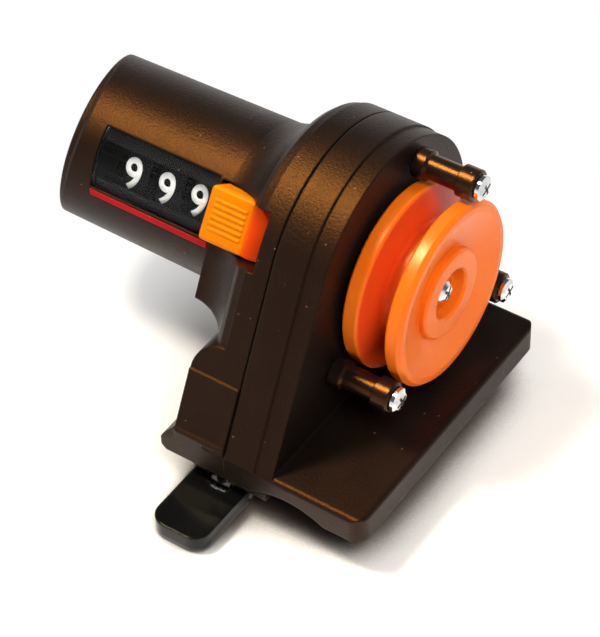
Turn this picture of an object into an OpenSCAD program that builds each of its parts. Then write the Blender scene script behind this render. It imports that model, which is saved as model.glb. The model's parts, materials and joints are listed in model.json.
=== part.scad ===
// Fishing line counter that clamps under a rod: the line turns a grooved wheel, and a gear train
// turns three number wheels behind a window. Millimetres, +Z up.
// The origin is the middle of the clamped rod's axis, and the rod runs along Y.
// The wheel's axis runs along X, with its screw towards +X.

/* [Rod clamp] */
// Radius of the rod that the closed clamp grips
rod_r = 3; // [2.4:0.1:3.4]
// Thickness of the rubber lining on each side of the rod
pad_t = 0.7; // [0.5:0.1:0.9]
// Radius of the shallow channel along the underside of the base
channel_r = 14; // [11:0.5:20]
// Depth of that channel
channel_d = 1.9; // [1.4:0.1:2.2]
// Thickness of the base
base_t = 5.2; // [5:0.1:7]
// Length of the base along the rod
base_l = 53.2; // [50:0.2:60]
// Distance from the rod's axis to the front edge of the base
base_front = 14.4; // [13:0.1:18]
// Radius of the base's upright corners
base_corner_r = 2.4; // [1:0.1:4]
// Radius of the base's top edges
base_edge_r = 0.9; // [0.4:0.1:1.5]
// Thickness of the jaw under its lining
jaw_t = 1.1; // [1:0.1:2]
// Distance that the jaw stands back from the ends of the base
jaw_inset = 6; // [5:0.1:9]
// Distance that the jaw stands back from the front edge of the base
jaw_front_inset = 4.2; // [3:0.1:5]
// Thickness of the jaw's tongue, which the lever pulls up
tongue_t = 1.6; // [1.4:0.1:1.7]

/* [Clamp lever] */
// Distance from the clamp stud to the left end of the base
stud_end = 2.8; // [2.4:0.1:6]
// Distance from the clamp stud to the parting line
stud_back = 2; // [1.8:0.1:4]
// Radius of the clamp stud
stud_r = 1.5; // [1.2:0.1:1.8]
// Radius of the lever's pin
lever_pin_r = 0.8; // [0.6:0.05:1]
// Reach of the lever's cam when it is closed
cam_r = 2.4; // [2.3:0.05:2.6]
// Width of the lever across its fork
lever_w = 10.4; // [9:0.2:13]
// Length of the lever from its pin to its tip
lever_l = 14.2; // [12:0.2:20]
// Thickness of the lever's paddle
lever_t = 2.8; // [2:0.1:3]
// Swing of the lever from closed to open
lever_swing = 80; // [60:5:90]
// Angle that the jaw opens with the lever
jaw_swing = 2.4; // [1:0.1:2.8]

/* [Line wheel] */
// Outer radius of the line wheel
wheel_r = 16; // [14.5:0.1:17]
// Width of the line wheel
wheel_w = 10.9; // [9.5:0.1:13]
// Radius at the bottom of the line groove
groove_r = 10.1; // [9.6:0.1:11]
// Width of the line groove at the rim
groove_w = 5; // [3.6:0.1:5.4]
// Width of the rear rim
rear_rim_w = 3; // [2:0.1:3.6]
// Radius of the wheel's hub ring
hub_r = 7.9; // [6.5:0.1:8.6]
// Radius of the wheel's screw recess
recess_r = 4.3; // [3.6:0.1:5]
// Depth of the wheel's screw recess
recess_d = 2.6; // [1.5:0.1:3.5]
// Radius of the wheel's shaft
shaft_r = 1.5; // [1.2:0.05:1.7]
// Gap between the wheel and the housing
wheel_gap = 0.75; // [0.4:0.05:1.5]
// Gap between the wheel and the base
wheel_base_gap = 1.9; // [1:0.1:4]

/* [Line guides] */
// Radius of the guide rollers' end collars
collar_r = 2.7; // [2.4:0.05:3]
// Radius of the guide rollers between their collars
roller_r = 2.1; // [1.8:0.05:2.3]
// Width of the collar at a roller's tip
tip_collar_w = 3.2; // [2:0.1:4]
// Width of the collar at a roller's root
root_collar_w = 2.6; // [1.5:0.1:4]
// Gap between the rollers' collars and the wheel's rim
guide_gap = 0.5; // [0.3:0.05:1]
// Radius of the guide screws
guide_screw_r = 1.2; // [1:0.05:1.4]
// Radius of the guide screws' heads
guide_head_r = 2.1; // [1.8:0.05:2.4]

/* [Housing] */
// Distance from the rod's axis back to the housing's front face
face_back = 2.65; // [1:0.05:4]
// Depth of the front shell from its face to the parting line
front_depth = 9.45; // [9:0.05:12]
// Distance of the wheel's axis from the middle of the base
axis_y = 8.7; // [6:0.1:11]
// Thickness of the housing's walls
wall = 1.8; // [1.4:0.1:2.2]
// Thickness of the front shell's face
face_t = 2; // [1.5:0.1:2.5]
// Width of the stepped band along the housing's front edge
band_w = 3.4; // [2:0.1:4.5]
// Height of the band's step and of the parting line's groove
step_h = 0.3; // [0.2:0.05:0.5]
// Width of the parting line's groove
seam_w = 0.3; // [0.2:0.05:0.5]
// Depth of the flange behind the parting line
flange_d = 4.2; // [3.6:0.1:5]
// Rise of the barrel's axis over the wheel's axis
barrel_rise = 1.3; // [0.8:0.1:1.8]
// Length of the barrel behind the parting line
barrel_l = 50; // [47:0.1:56]
// Radius of the flare between the flange and the barrel
flare_r = 10.5; // [10:0.1:11.5]
// Radius that the barrel loses towards its end
barrel_taper = 0.5; // [0:0.1:0.8]
// Radius of the barrel's end edge
end_round = 1.3; // [0.6:0.1:2]
// Thickness of the barrel's end wall
end_t = 2; // [1.6:0.1:3]
// Angle by which the barrel's end slants away from the window's side
end_slant = 14.5; // [10:0.5:17]
// Height of the flare's lower edge over the base
skirt_h = 14; // [13:0.1:16]
// Depth of the block behind the parting line
block_d = 9.6; // [8:0.1:11]
// Height of that block over the base
block_h = 15; // [14.4:0.1:17]
// Radius of that block's rear edge
block_r = 4.6; // [3:0.1:6]
// Reach of the lip behind the block
lip_reach = 2.9; // [2:0.1:5]
// Height of the lip's edge
lip_t = 3.6; // [2.5:0.1:4.6]

/* [Counter] */
// Radius of the number wheels
drum_r = 10.2; // [9.6:0.1:10.5]
// Width of a number wheel
drum_w = 5; // [4.4:0.1:5.2]
// Distance between the number wheels' middles
drum_pitch = 6.8; // [6.6:0.1:7.4]
// Radius of the number wheels' shaft
number_shaft_r = 1.2; // [0.9:0.05:1.3]
// Radius of the carry pinions' shaft
carry_shaft_r = 0.7; // [0.5:0.05:0.8]
// Teeth on a number wheel's carry ring
ring_teeth = 50; // [44:2:56]
// Teeth on a carry pinion
carry_teeth = 8; // [7:1:9]
// Direction of the window and the button above the horizontal
window_angle = 34; // [28:1:40]
// Width of the window round the barrel
window_w = 10.6; // [8.5:0.1:11]
// Thickness of the window's lens
lens_t = 0.9; // [0.6:0.1:1.2]
// Width of the red stripe below the window
stripe_w = 1.1; // [0.6:0.1:1.6]

/* [Reset button] */
// Length of the button along the barrel
button_l = 12.4; // [11.4:0.1:12.6]
// Width of the button round the barrel
button_w = 9.4; // [8.5:0.1:10]
// Height of the button's top above the barrel
button_h = 2.7; // [2.2:0.1:3.4]
// Travel of the button
button_travel = 2; // [1:0.1:2.2]
// Number of finger ridges on the button
ridge_count = 6; // [4:1:7]
// Radius of the button's stem
stem_r = 1.5; // [1.2:0.05:1.7]
// Mean radius of the button's spring
spring_r = 2.5; // [2.4:0.05:2.7]
// Radius of the spring's wire
spring_wire_r = 0.2; // [0.15:0.01:0.25]
// Turns of the spring
spring_turns = 5; // [4:1:6]

/* [Gears] */
// Module of the first two gear pairs
gear_m = 0.4; // [0.38:0.01:0.42]
// Teeth on the two driving pinions
pinion_teeth = 10; // [9:1:11]
// Teeth on the two large gears
gear_teeth = 40; // [38:1:42]
// Teeth on the last pinion
last_pinion_teeth = 12; // [11:1:13]
// Teeth on the gear of the units wheel
units_teeth = 36; // [34:1:38]
// Thickness of the gears
gear_t = 1.5; // [1.2:0.1:1.6]
// Radius of the gears' arbors
arbor_r = 0.9; // [0.7:0.05:1]

/* [Fits] */
// Radial clearance of parts that turn or slide
run = 0.05; // [0.03:0.01:0.08]
// Radial clearance of parts that are pressed together
press = 0.01; // [0.005:0.005:0.02]
// Clearance between a piece and the pocket that it sits in
pocket = 0.3; // [0.25:0.05:0.35]
// Clearance between pieces that move past each other
free = 0.4; // [0.3:0.05:0.5]

/* [Hidden] */
$fn = 72;

body_color = [0.13, 0.11, 0.09];
rubber_color = [0.06, 0.06, 0.06];
orange_color = [0.95, 0.32, 0.03];
amber_color = [0.95, 0.52, 0.05];
steel_color = [0.75, 0.75, 0.76];
brass_color = [0.78, 0.6, 0.27];
white_color = [0.9, 0.9, 0.87];

// Height of a tooth above and below its pitch line, as shares of the module
tooth_top = 0.72;
tooth_root = 1.05;

// Small amount by which a cut runs past a face
eps = 0.5;

// Heights of the base and the clamp
saddle_r = rod_r + pad_t;
base_z = saddle_r - channel_d;
base_top = base_z + base_t;
// The jaw stops a little below the rod's axis, so that the rod drops straight in
jaw_play = 0.2;
jaw_top = -jaw_play;
jaw_bottom = -saddle_r - jaw_t;

// The wheel's axis, the circle of the guides and the arch of the housing
axis_z = base_top + wheel_base_gap + wheel_r;
guide_circle = wheel_r + guide_gap + collar_r;
arch_rim = 0.35;
arch_r = guide_circle + collar_r + arch_rim;
barrel_z = axis_z + barrel_rise;
foot_z = base_top - barrel_z;
foot_left = -base_l / 2 - axis_y;
foot_right = base_l / 2 - axis_y;

// Places along the axis, from the front to the back
face_x = -face_back;
seam_x = face_x - front_depth;
wheel_x = face_x + wheel_gap;
wheel_front = wheel_x + wheel_w;
bush_l = 4;
bush_wall = 1.4;
boss_wall = 1.2;
roller_play = 0.3;
guide_thread = 2.4;
bush_x = face_x - bush_l;
gear_gap = 0.5;
stage_x = [for (i = [0:2]) bush_x - gear_gap - gear_t - i * (gear_t + gear_gap)];
plate_t = 1.2;
plate_x = stage_x[2] - gear_gap - plate_t;

// Barrel, flare and number wheels
drum_room = 2.9;
barrel_bore = drum_r + drum_room;
barrel_r = barrel_bore + wall;
// The flare's arc ends below the flange's rim, and a blunt edge leads on to the rim
flare_end_r = arch_r - 0.1;
rim_in = 1.3;
rim_l = 2.8;
flare_l = sqrt(flare_r * flare_r - pow(barrel_r + flare_r - flare_end_r + rim_in, 2));
// Lap of the flare's ends into the barrel and the flange
flare_lap = 0.25;
rim_x = seam_x - flange_d - rim_l + flare_lap;
flare_start = rim_x - flare_l;
// Depth at which the flare's arc starts inside the barrel, so that the two meet in a clear corner
flare_sink = 0.05;
skirt_z = base_top + skirt_h;
// Height and reach of the block's ledge, which stands proud of the flank
ledge_h = 15.6;
ledge_out = 0.3;
// Distance from the parting line to the hollow in front of the button
hollow_gap = 2.7;
well_wall = 1.2;
button_gap = 4.1;
button_x1 = seam_x - button_gap;
button_x0 = button_x1 - button_l;
well_x0 = button_x0 - pocket - well_wall;
well_x1 = button_x1 + pocket + well_wall;
units_x = well_x0 - free - drum_w / 2;
drum_x = [for (i = [0:2]) units_x - i * drum_pitch];
number_end = drum_x[2] - drum_w / 2 - free;
barrel_end = seam_x - barrel_l;
barrel_end_r = barrel_r - barrel_taper;
// Direction that the slanted end faces, and how far its longest side reaches past its middle
slant_turn = 165 - window_angle;
slant_reach = barrel_r * tan(end_slant);
window_margin = 3.5;
window_bar = 0.8;
window_x0 = drum_x[2] - drum_w / 2 - window_margin;
window_x1 = button_x0 - window_bar;
carry_d = drum_r + free + carry_shaft_r + run;
carry_angle = 270;
carry_m = 2 * carry_d / (ring_teeth + carry_teeth);
carry_tip = carry_m * (carry_teeth / 2 + tooth_top);
carry_boss_r = carry_shaft_r + 1.1;
carry_boss_l = 1.6;

// Button and spring, measured outwards from the axis
well_d = 2.2;
well_floor = barrel_bore - well_d;
button_bottom = well_floor + button_travel + free;
button_top = barrel_r + button_h;
button_roof = 1.7;
spring_top = button_top - button_roof;
clip_t = 0.6;
clip_end = 0.6;
clip_groove = 0.4;
stem_end = well_floor - well_wall - free - clip_t - clip_end;

// Gear train: the wheel's shaft, two arbors and back to the axis
arbor_d = gear_m * (pinion_teeth + gear_teeth) / 2;
first_angle = 170;
second_angle = first_angle - 60;
// The second arbor as it lies from the number wheels' axis
last_y = arbor_d * cos(second_angle);
last_z = arbor_d * sin(second_angle) - barrel_rise;
last_angle = atan2(last_z, last_y);
last_m = 2 * norm([last_y, last_z]) / (last_pinion_teeth + units_teeth);
sleeve_r = 2.6;
plate_margin = 3.6;
plate_r = arbor_d + plate_margin;
arbor_boss_r = arbor_r + 1.1;
bush_boss_r = shaft_r + bush_wall + 1.5;
plate_screw_r = 0.9;
plate_screw_angles = [35, 310];
plate_screw_d = arbor_d + 1.4;
plate_screw_l = 4.5;
guide_angles = [68, 206, 324];

// Clamp stud, lever and the jaw's hinge
stud_x = seam_x - stud_back;
stud_y = -base_l / 2 + stud_end;
tongue_top = base_z - free;
tongue_bottom = tongue_top - tongue_t;
cam_play = 0.3;
lever_z = tongue_bottom - cam_play - cam_r;
eye_w = 3.6;
fork_gap = 0.3;
hinge_pin_r = 0.9;
jaw_half = base_l / 2 - jaw_inset;
jaw_front = base_front - jaw_front_inset;
hinge_x = jaw_front - 2.4;
hinge_z = jaw_top - 2.2;
lug_w = 4;
lug_in = 7;
lug_y = [-jaw_half + lug_in, jaw_half - lug_in];
lug_r = 1.9;

// Direction of the tangent from the foot of the housing's flank to its arch
function flank_angle(y, side) = atan2(foot_z, y) - side * acos(arch_r / norm([y, foot_z]));
left_normal = flank_angle(foot_left, 1);
right_normal = flank_angle(foot_right, -1);
// Place of a flank, drawn in by an inset, at a height above the axis
function flank_y(normal, inset, z) = (arch_r - inset - z * sin(normal)) / cos(normal);
function polar(r, a) = [r * cos(a), r * sin(a)];

// Angle of a gear that meshes with another one in a direction
function mesh_angle(direction, turned, n1, n2) =
    direction + 180 + 180 / n2 - (turned - direction) * n1 / n2;
first_turn = mesh_angle(first_angle, 0, pinion_teeth, gear_teeth);
second_turn = mesh_angle(first_angle - 120, first_turn, pinion_teeth, gear_teeth);
units_turn = mesh_angle(last_angle + 180, second_turn, last_pinion_teeth, units_teeth);
carry_turn = mesh_angle(carry_angle, 0, ring_teeth, carry_teeth);

// Moves to the wheel's axis
module at_axis() {
    translate([0, axis_y, axis_z]) children();
}

// Moves to the axis of the barrel and the number wheels
module at_barrel() {
    translate([0, axis_y, barrel_z]) children();
}

// Moves to the middle of the barrel's slanted end, with X standing square on it
module at_end() {
    at_barrel() translate([barrel_end, 0, 0])
        rotate([slant_turn, 0, 0]) rotate([0, 0, -end_slant]) children();
}

// Extrudes a flat shape, drawn in Y and Z, along X
module slab_x(x0, x1) {
    translate([x0, 0, 0]) rotate([90, 0, 90]) linear_extrude(x1 - x0) children();
}

// Extrudes a flat shape, drawn in X and Z, along Y
module slab_y(y0, y1) {
    translate([0, y1, 0]) rotate([90, 0, 0]) linear_extrude(y1 - y0) children();
}

// Turns a profile, drawn as radius and X, round the axis
module turn_x() {
    rotate([0, 90, 0]) rotate_extrude() children();
}

module rod_x(x0, x1, r) {
    translate([x0, 0, 0]) rotate([0, 90, 0]) cylinder(h = x1 - x0, r = r);
}

module rod_y(y0, y1, r) {
    translate([0, y1, 0]) rotate([90, 0, 0]) cylinder(h = y1 - y0, r = r);
}

// Tube along X
module tube_x(x0, x1, r_out, r_in) {
    difference() {
        rod_x(x0, x1, r_out);
        rod_x(x0 - eps, x1 + eps, r_in);
    }
}

// Turns what stands along +Z to the direction of the window, at the barrel's axis
module at_window() {
    at_barrel() rotate([90 - window_angle, 0, 0]) children();
}

// Box with a range in X, a width and a range in height
module bar(x0, x1, w, z0, z1) {
    translate([x0, -w / 2, z0]) cube([x1 - x0, w, z1 - z0]);
}

// Rectangle with round corners, by its low and high corners
module round_rect(low, high, r) {
    translate([low[0] + r, low[1]]) square([high[0] - low[0] - 2 * r, high[1] - low[1]]);
    translate([low[0], low[1] + r]) square([high[0] - low[0], high[1] - low[1] - 2 * r]);
    for (x = [low[0] + r, high[0] - r], y = [low[1] + r, high[1] - r]) translate([x, y]) circle(r);
}

// Outline of the housing about the axis, drawn in by an inset, down to a floor
// The flanks lie just inside the arch's tangents, so that each one meets the arch in a clear corner
flank_sink = 0.05;
module arch_outline(inset, floor_z) {
    r = arch_r - inset;
    circle(r);
    polygon([
        polar(r - flank_sink, left_normal),
        [flank_y(left_normal, inset + flank_sink, floor_z), floor_z],
        [flank_y(right_normal, inset + flank_sink, floor_z), floor_z],
        polar(r - flank_sink, right_normal)
    ]);
}

// Outline of a gear with straight-sided teeth
module gear_outline(m, n, turned) {
    r = m * n / 2;
    tip = r + tooth_top * m;
    root = r - tooth_root * m;
    step = 360 / n;
    polygon([
        for (i = [0:n - 1], p = [[root, -0.33], [r, -0.21], [tip, -0.1], [tip, 0.1], [r, 0.21], [root, 0.33]])
            polar(p[0], turned + (i + p[1]) * step)
    ]);
}

// Place of the two arbors about the axis
module at_first_arbor() {
    at_axis() translate([0, polar(arbor_d, first_angle)[0], polar(arbor_d, first_angle)[1]]) children();
}

module at_second_arbor() {
    at_axis() translate([0, polar(arbor_d, second_angle)[0], polar(arbor_d, second_angle)[1]]) children();
}

// Place of a guide about the axis
module at_guide(i) {
    p = polar(guide_circle, guide_angles[i]);
    at_axis() translate([0, p[0], p[1]]) children();
}

// The base as a solid slab with round corners and edges
module base_slab() {
    half = base_l / 2;
    intersection() {
        translate([0, 0, base_z]) linear_extrude(base_t)
            round_rect([seam_x - base_corner_r * 2, -half], [base_front, half], base_corner_r);
        slab_x(seam_x, base_front)
            round_rect([-half, base_z - base_t], [half, base_top], base_edge_r);
        slab_y(-half, half)
            round_rect([seam_x - base_t, base_z - base_t], [base_front, base_top], base_edge_r);
    }
}

// Post inside the front shell that a guide's screw passes through
module front_post(i) {
    at_guide(i) rod_x(seam_x, face_x - face_t, guide_screw_r + boss_wall);
}

module hinge_lug(y) {
    translate([hinge_x, 0, hinge_z]) rod_y(y - lug_w / 2, y + lug_w / 2, lug_r);
    translate([hinge_x - lug_r, y - lug_w / 2, hinge_z]) cube([2 * lug_r, lug_w, base_z - hinge_z + 1]);
}

// Cylinder along the rod whose top is the channel's top, or the lining's for a smaller radius
module channel(r, half) {
    translate([0, 0, saddle_r - channel_r]) rod_y(-half, half, r);
}

module front_shell() color(body_color) {
    cavity_floor = foot_z + 0.5;
    difference() {
        union() {
            difference() {
                union() {
                    at_barrel() slab_x(seam_x + seam_w, face_x - band_w) arch_outline(0, foot_z - eps);
                    at_barrel() slab_x(seam_x, face_x) arch_outline(step_h, foot_z - eps);
                    base_slab();
                }
                channel(channel_r, base_l / 2 + eps);
                at_barrel() slab_x(seam_x - eps, face_x - face_t) arch_outline(wall + step_h, cavity_floor);
            }
            for (i = [0:2]) front_post(i);
            at_axis() rod_x(bush_x, face_x - eps, bush_boss_r);
            at_first_arbor() rod_x(bush_x, face_x - eps, arbor_boss_r);
            at_second_arbor() rod_x(bush_x, face_x - eps, arbor_boss_r);
            for (y = lug_y) hinge_lug(y);
        }
        at_axis() rod_x(bush_x - eps, face_x + eps, shaft_r + run + bush_wall);
        at_first_arbor() rod_x(bush_x - eps, face_x - face_t, arbor_r + press);
        at_second_arbor() rod_x(bush_x - eps, face_x - face_t, arbor_r + press);
        for (i = [0:2]) at_guide(i) rod_x(seam_x - eps, face_x + eps, guide_screw_r + run);
        translate([hinge_x, 0, hinge_z]) rod_y(-jaw_half, jaw_half, hinge_pin_r + press);
    }
}

// Barrel with a slanted end and a round edge there
module barrel() {
    back = barrel_end - slant_reach;
    front = seam_x - flange_d + eps;
    intersection() {
        at_barrel() turn_x() polygon([
            [0, back],
            [barrel_end_r, back],
            [barrel_r, flare_start],
            [barrel_r, front],
            [0, front]
        ]);
        at_end() turn_x() polygon([
            [0, 0],
            [barrel_r - end_round, 0],
            [barrel_r - end_round * 0.29, end_round * 0.29],
            [barrel_r, end_round],
            [barrel_r + barrel_l, end_round + barrel_l],
            [0, end_round + barrel_l]
        ]);
    }
}

// What lies further in than a depth behind the slanted end, up to a radius and an X
module behind_end(depth, r, x1) {
    intersection() {
        at_barrel() rod_x(barrel_end - slant_reach, x1, r);
        at_end() rod_x(depth, 2 * barrel_l, 2 * barrel_l);
    }
}

// Profile of the flare between the barrel and the flange, from an inner radius outwards
module flare_profile(inner) {
    difference() {
        translate([inner, flare_start + flare_lap])
            square([flare_end_r - inner, seam_x - flange_d + eps - flare_start - flare_lap]);
        translate([barrel_r + flare_r - flare_sink, flare_start]) circle(flare_r);
        polygon([
            [flare_end_r - rim_in * 1.2, rim_x - rim_l * 0.1],
            [flare_end_r - rim_in * 0.3, rim_x + rim_l * 0.4],
            [flare_end_r, rim_x + rim_l],
            [flare_end_r + eps, rim_x + rim_l],
            [flare_end_r + eps, rim_x - rim_l * 0.1]
        ]);
    }
}

// Flare round the barrel that runs on down the left flank, to a level lower edge
module skirt() {
    intersection() {
        union() {
            at_barrel() turn_x() flare_profile(barrel_bore);
            at_barrel() rotate([left_normal, 0, 0]) translate([0, -flank_sink, arch_r])
                rotate([180, 0, 90]) linear_extrude(arch_r + wall) flare_profile(barrel_bore / 2);
        }
        translate([barrel_end, -base_l, skirt_z]) cube([barrel_l, 2 * base_l, 2 * arch_r]);
    }
}

// Side view of the block, with a round rear edge
module block_outline() {
    back = seam_x - block_d;
    top = base_top + block_h;
    translate([back, base_z]) square([block_d, top - block_r - base_z]);
    translate([back + block_r, base_z]) square([block_d - block_r, top - base_z]);
    translate([back + block_r, top - block_r]) circle(block_r);
}

// Block and lip behind the parting line, which carry the clamp stud
module rear_block() {
    half = base_l / 2;
    back = seam_x - block_d;
    lip_back = back - lip_reach;
    lip_top = base_z + lip_t;
    intersection() {
        union() {
            at_barrel() slab_x(back, seam_x) arch_outline(0, foot_z - base_t);
            intersection() {
                at_barrel() slab_x(back, seam_x) arch_outline(-ledge_out, foot_z - base_t);
                translate([back, -half, base_z]) cube([block_d, base_l, ledge_h]);
            }
        }
        slab_y(-half - eps, half + eps) block_outline();
        translate([back, -half, base_z]) cube([block_d, base_l, barrel_z]);
    }
    intersection() {
        slab_y(-half, half) polygon([
            [seam_x, base_z],
            [lip_back + 0.9, base_z],
            [lip_back, base_z + 0.9],
            [lip_back, lip_top - 0.9],
            [lip_back + 0.5, lip_top],
            [back, lip_top + lip_reach],
            [seam_x, lip_top + lip_reach]
        ]);
        slab_x(lip_back, seam_x) polygon([
            [-half, base_z],
            [half, base_z],
            [half, lip_top],
            [half - 1.6, axis_z],
            [-half + 1.6, axis_z],
            [-half, lip_top]
        ]);
    }
}

// Opening for the window
module window_cut() {
    at_window() bar(window_x0, window_x1, window_w, barrel_bore - 2, barrel_r + eps);
}

// Space inside the rear shell
module rear_hollow() {
    cavity_r = arch_r - wall - 2 * step_h;
    behind_end(end_t, barrel_bore, seam_x + eps);
    at_barrel() rod_x(plate_x - free, seam_x + eps, plate_r + free);
    at_barrel() slab_x(seam_x - flange_d + wall, seam_x + eps) arch_outline(wall + step_h, foot_z + wall);
    intersection() {
        at_barrel() turn_x() polygon([
            [0, flare_start + flare_l / 2],
            [barrel_bore, flare_start + flare_l / 2],
            [cavity_r, rim_x + rim_l - wall / 2],
            [cavity_r, seam_x + eps],
            [0, seam_x + eps]
        ]);
        translate([barrel_end, -base_l, skirt_z + wall]) cube([barrel_l + eps, 2 * base_l, 2 * arch_r]);
    }
}

// Inside of the rear shell's skin, which the button's well and the bosses grow into
module rear_skin() {
    skin = wall / 3;
    behind_end(end_t / 2, barrel_end_r - skin, seam_x - flange_d);
    at_barrel() turn_x() translate([-skin, skin]) flare_profile(barrel_bore);
}

module at_plate_screw(a) {
    at_barrel() translate([0, polar(plate_screw_d, a)[0], polar(plate_screw_d, a)[1]]) children();
}

module rear_shell() color(body_color) {
    well_w = button_w + 2 * (pocket + well_wall);
    difference() {
        union() {
            difference() {
                union() {
                    barrel();
                    skirt();
                    at_barrel() slab_x(seam_x - flange_d, seam_x) arch_outline(0, foot_z - eps);
                    rear_block();
                }
                rear_hollow();
            }
            intersection() {
                rear_skin();
                union() {
                    at_window() bar(well_x0, well_x1, well_w, well_floor - well_wall, arch_r);
                    at_window() bar(well_x1 - well_wall, seam_x, well_w, plate_r + 2 * free, arch_r);
                    for (a = plate_screw_angles)
                        at_plate_screw(a) rod_x(flare_start, plate_x, plate_screw_r + boss_wall);
                    at_barrel() rod_x(barrel_end - slant_reach, number_end, number_shaft_r + 1.6);
                    at_carry() rod_x(barrel_end - slant_reach, number_end, carry_boss_r);
                    at_carry() rod_x(well_x0, well_x0 + carry_boss_l, carry_boss_r);
                    at_carry() translate([well_x0, -carry_boss_r, -drum_room])
                        cube([carry_boss_l, 2 * carry_boss_r, drum_room]);
                }
            }
            for (i = [0:2]) at_guide(i) rod_x(seam_x - flange_d, seam_x, guide_screw_r + boss_wall);
        }
        window_cut();
        at_window()
            bar(button_x0 - pocket, button_x1 + pocket, button_w + 2 * pocket, well_floor, arch_r + eps);
        at_window() slab_y(-button_w / 2 - pocket, button_w / 2 + pocket) polygon([
            [button_x1, barrel_r + step_h],
            [button_x1 + pocket, barrel_r + step_h],
            [seam_x - hollow_gap, arch_r],
            [seam_x - hollow_gap, arch_r + eps],
            [button_x1, arch_r + eps]
        ]);
        at_window() translate([(button_x0 + button_x1) / 2, 0, 0])
            cylinder(h = barrel_r, r = stem_r + run);
        at_barrel() rod_x(barrel_end + end_t, number_end + eps, number_shaft_r + press);
        at_carry() rod_x(barrel_end + end_t, well_x0 + carry_boss_l + eps, carry_shaft_r + press);
        at_carry() rod_x(number_end, well_x0, carry_tip + pocket);
        for (i = [0:2]) at_guide(i) rod_x(seam_x - guide_thread - 0.2, seam_x + eps, guide_screw_r + press);
        for (a = plate_screw_angles)
            at_plate_screw(a) rod_x(plate_x - plate_screw_l - eps, plate_x + eps, plate_screw_r + press);
        translate([stud_x, stud_y, base_z - eps]) cylinder(h = stud_depth + eps, r = stud_r + press);
        stripe_box(press);
    }
}

// Place of the carry pinions' shaft
module at_carry() {
    at_barrel() translate([0, polar(carry_d, carry_angle)[0], polar(carry_d, carry_angle)[1]]) children();
}

// Clear lens that fills the window
module window_lens() color([0.85, 0.9, 0.95, 0.35]) {
    intersection() {
        at_barrel() tube_x(window_x0, window_x1, barrel_r - 0.5, barrel_r - 0.5 - lens_t);
        at_window() bar(window_x0 + press, window_x1 - press, window_w - 2 * press, 0, barrel_r);
    }
}

// Space of the stripe below the window, which lies along the tapered barrel and stands a little proud
stripe_h = 1;
stripe_gap = 0.5;
stripe_proud = 0.12;
stripe_angle = window_angle - asin((window_w + 2 * stripe_gap + stripe_w) / 2 / barrel_r);
barrel_slope = atan(barrel_taper / (flare_start - barrel_end + slant_reach));
module stripe_box(gap) {
    long = button_x0 - window_x0;
    at_barrel() rotate([90 - stripe_angle, 0, 0]) translate([flare_start, 0, barrel_r + stripe_proud])
        rotate([0, -barrel_slope, 0]) translate([window_x0 - flare_start, 0, 0])
            bar(-gap, long + gap, stripe_w + 2 * gap, -stripe_h - gap, gap);
}

module index_stripe() color([0.8, 0.05, 0.06]) {
    stripe_box(0);
}

// Rubber lining of the base's channel
module base_pad() color(rubber_color) {
    half = base_l / 2 - 1;
    reach = hinge_x - lug_r - free;
    intersection() {
        difference() {
            channel(channel_r - press, half);
            channel(channel_r - pad_t, half + eps);
        }
        translate([-reach, -half, base_z]) cube([2 * reach, 2 * half, channel_d + pad_t]);
    }
}

// Rubber lining of the jaw's saddle
module jaw_pad() color(rubber_color) {
    intersection() {
        difference() {
            rod_y(-jaw_half, jaw_half, saddle_r - press);
            rod_y(-jaw_half - eps, jaw_half + eps, rod_r);
        }
        translate([-saddle_r, -jaw_half, -saddle_r]) cube([2 * saddle_r, 2 * jaw_half, saddle_r + jaw_top]);
    }
}

module shaft_bush() color(brass_color) {
    at_axis() tube_x(bush_x, face_x, shaft_r + run + bush_wall - press, shaft_r + run);
}

module gear_plate() color(steel_color) {
    difference() {
        at_barrel() rod_x(plate_x, plate_x + plate_t, plate_r);
        at_barrel() rod_x(plate_x - eps, plate_x + plate_t + eps, sleeve_r + free);
        at_first_arbor() rod_x(plate_x - eps, plate_x + plate_t + eps, arbor_r + press);
        at_second_arbor() rod_x(plate_x - eps, plate_x + plate_t + eps, arbor_r + press);
        for (a = plate_screw_angles)
            at_plate_screw(a) rod_x(plate_x - eps, plate_x + plate_t + eps, plate_screw_r + run);
    }
}

module plate_screws() color(steel_color) {
    for (a = plate_screw_angles)
        at_plate_screw(a) {
            rod_x(plate_x - plate_screw_l, plate_x + plate_t, plate_screw_r);
            rod_x(plate_x + plate_t, plate_x + plate_t + 1, plate_screw_r + 0.8);
        }
}

module first_arbor() color(steel_color) {
    at_first_arbor() rod_x(plate_x, face_x - face_t - 0.2, arbor_r);
}

module second_arbor() color(steel_color) {
    at_second_arbor() rod_x(plate_x, face_x - face_t - 0.2, arbor_r);
}

module number_shaft() color(steel_color) {
    at_barrel() rod_x(barrel_end + end_t, stage_x[2] + gear_t, number_shaft_r);
}

module carry_shaft() color(steel_color) {
    at_carry() rod_x(barrel_end + end_t, well_x0 + carry_boss_l, carry_shaft_r);
}

// Height of the guide screws' heads, and the width and reach of their cross recess
guide_head_h = 1.1;
cross_w = 0.5;
cross_r = 1.2;
// Screws that pass through the guide rollers and hold the two shells together
module guide_screws() color(steel_color) {
    head_x = wheel_front + roller_play;
    for (i = [0:2])
        at_guide(i) difference() {
            union() {
                rod_x(seam_x - guide_thread, head_x, guide_screw_r);
                translate([head_x, 0, 0]) turn_x() polygon([
                    [0, 0],
                    [guide_head_r, 0],
                    [guide_head_r, guide_head_h * 0.55],
                    [guide_head_r * 0.7, guide_head_h * 0.9],
                    [0, guide_head_h]
                ]);
            }
            for (a = [20, 110])
                rotate([a, 0, 0])
                    bar(head_x + guide_head_h / 2, head_x + 2 * guide_head_h, cross_w, -cross_r, cross_r);
        }
}

// Depth and radius of the dish in the wheel's rear
dish_d = 1.2;
dish_r = 5;
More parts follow.
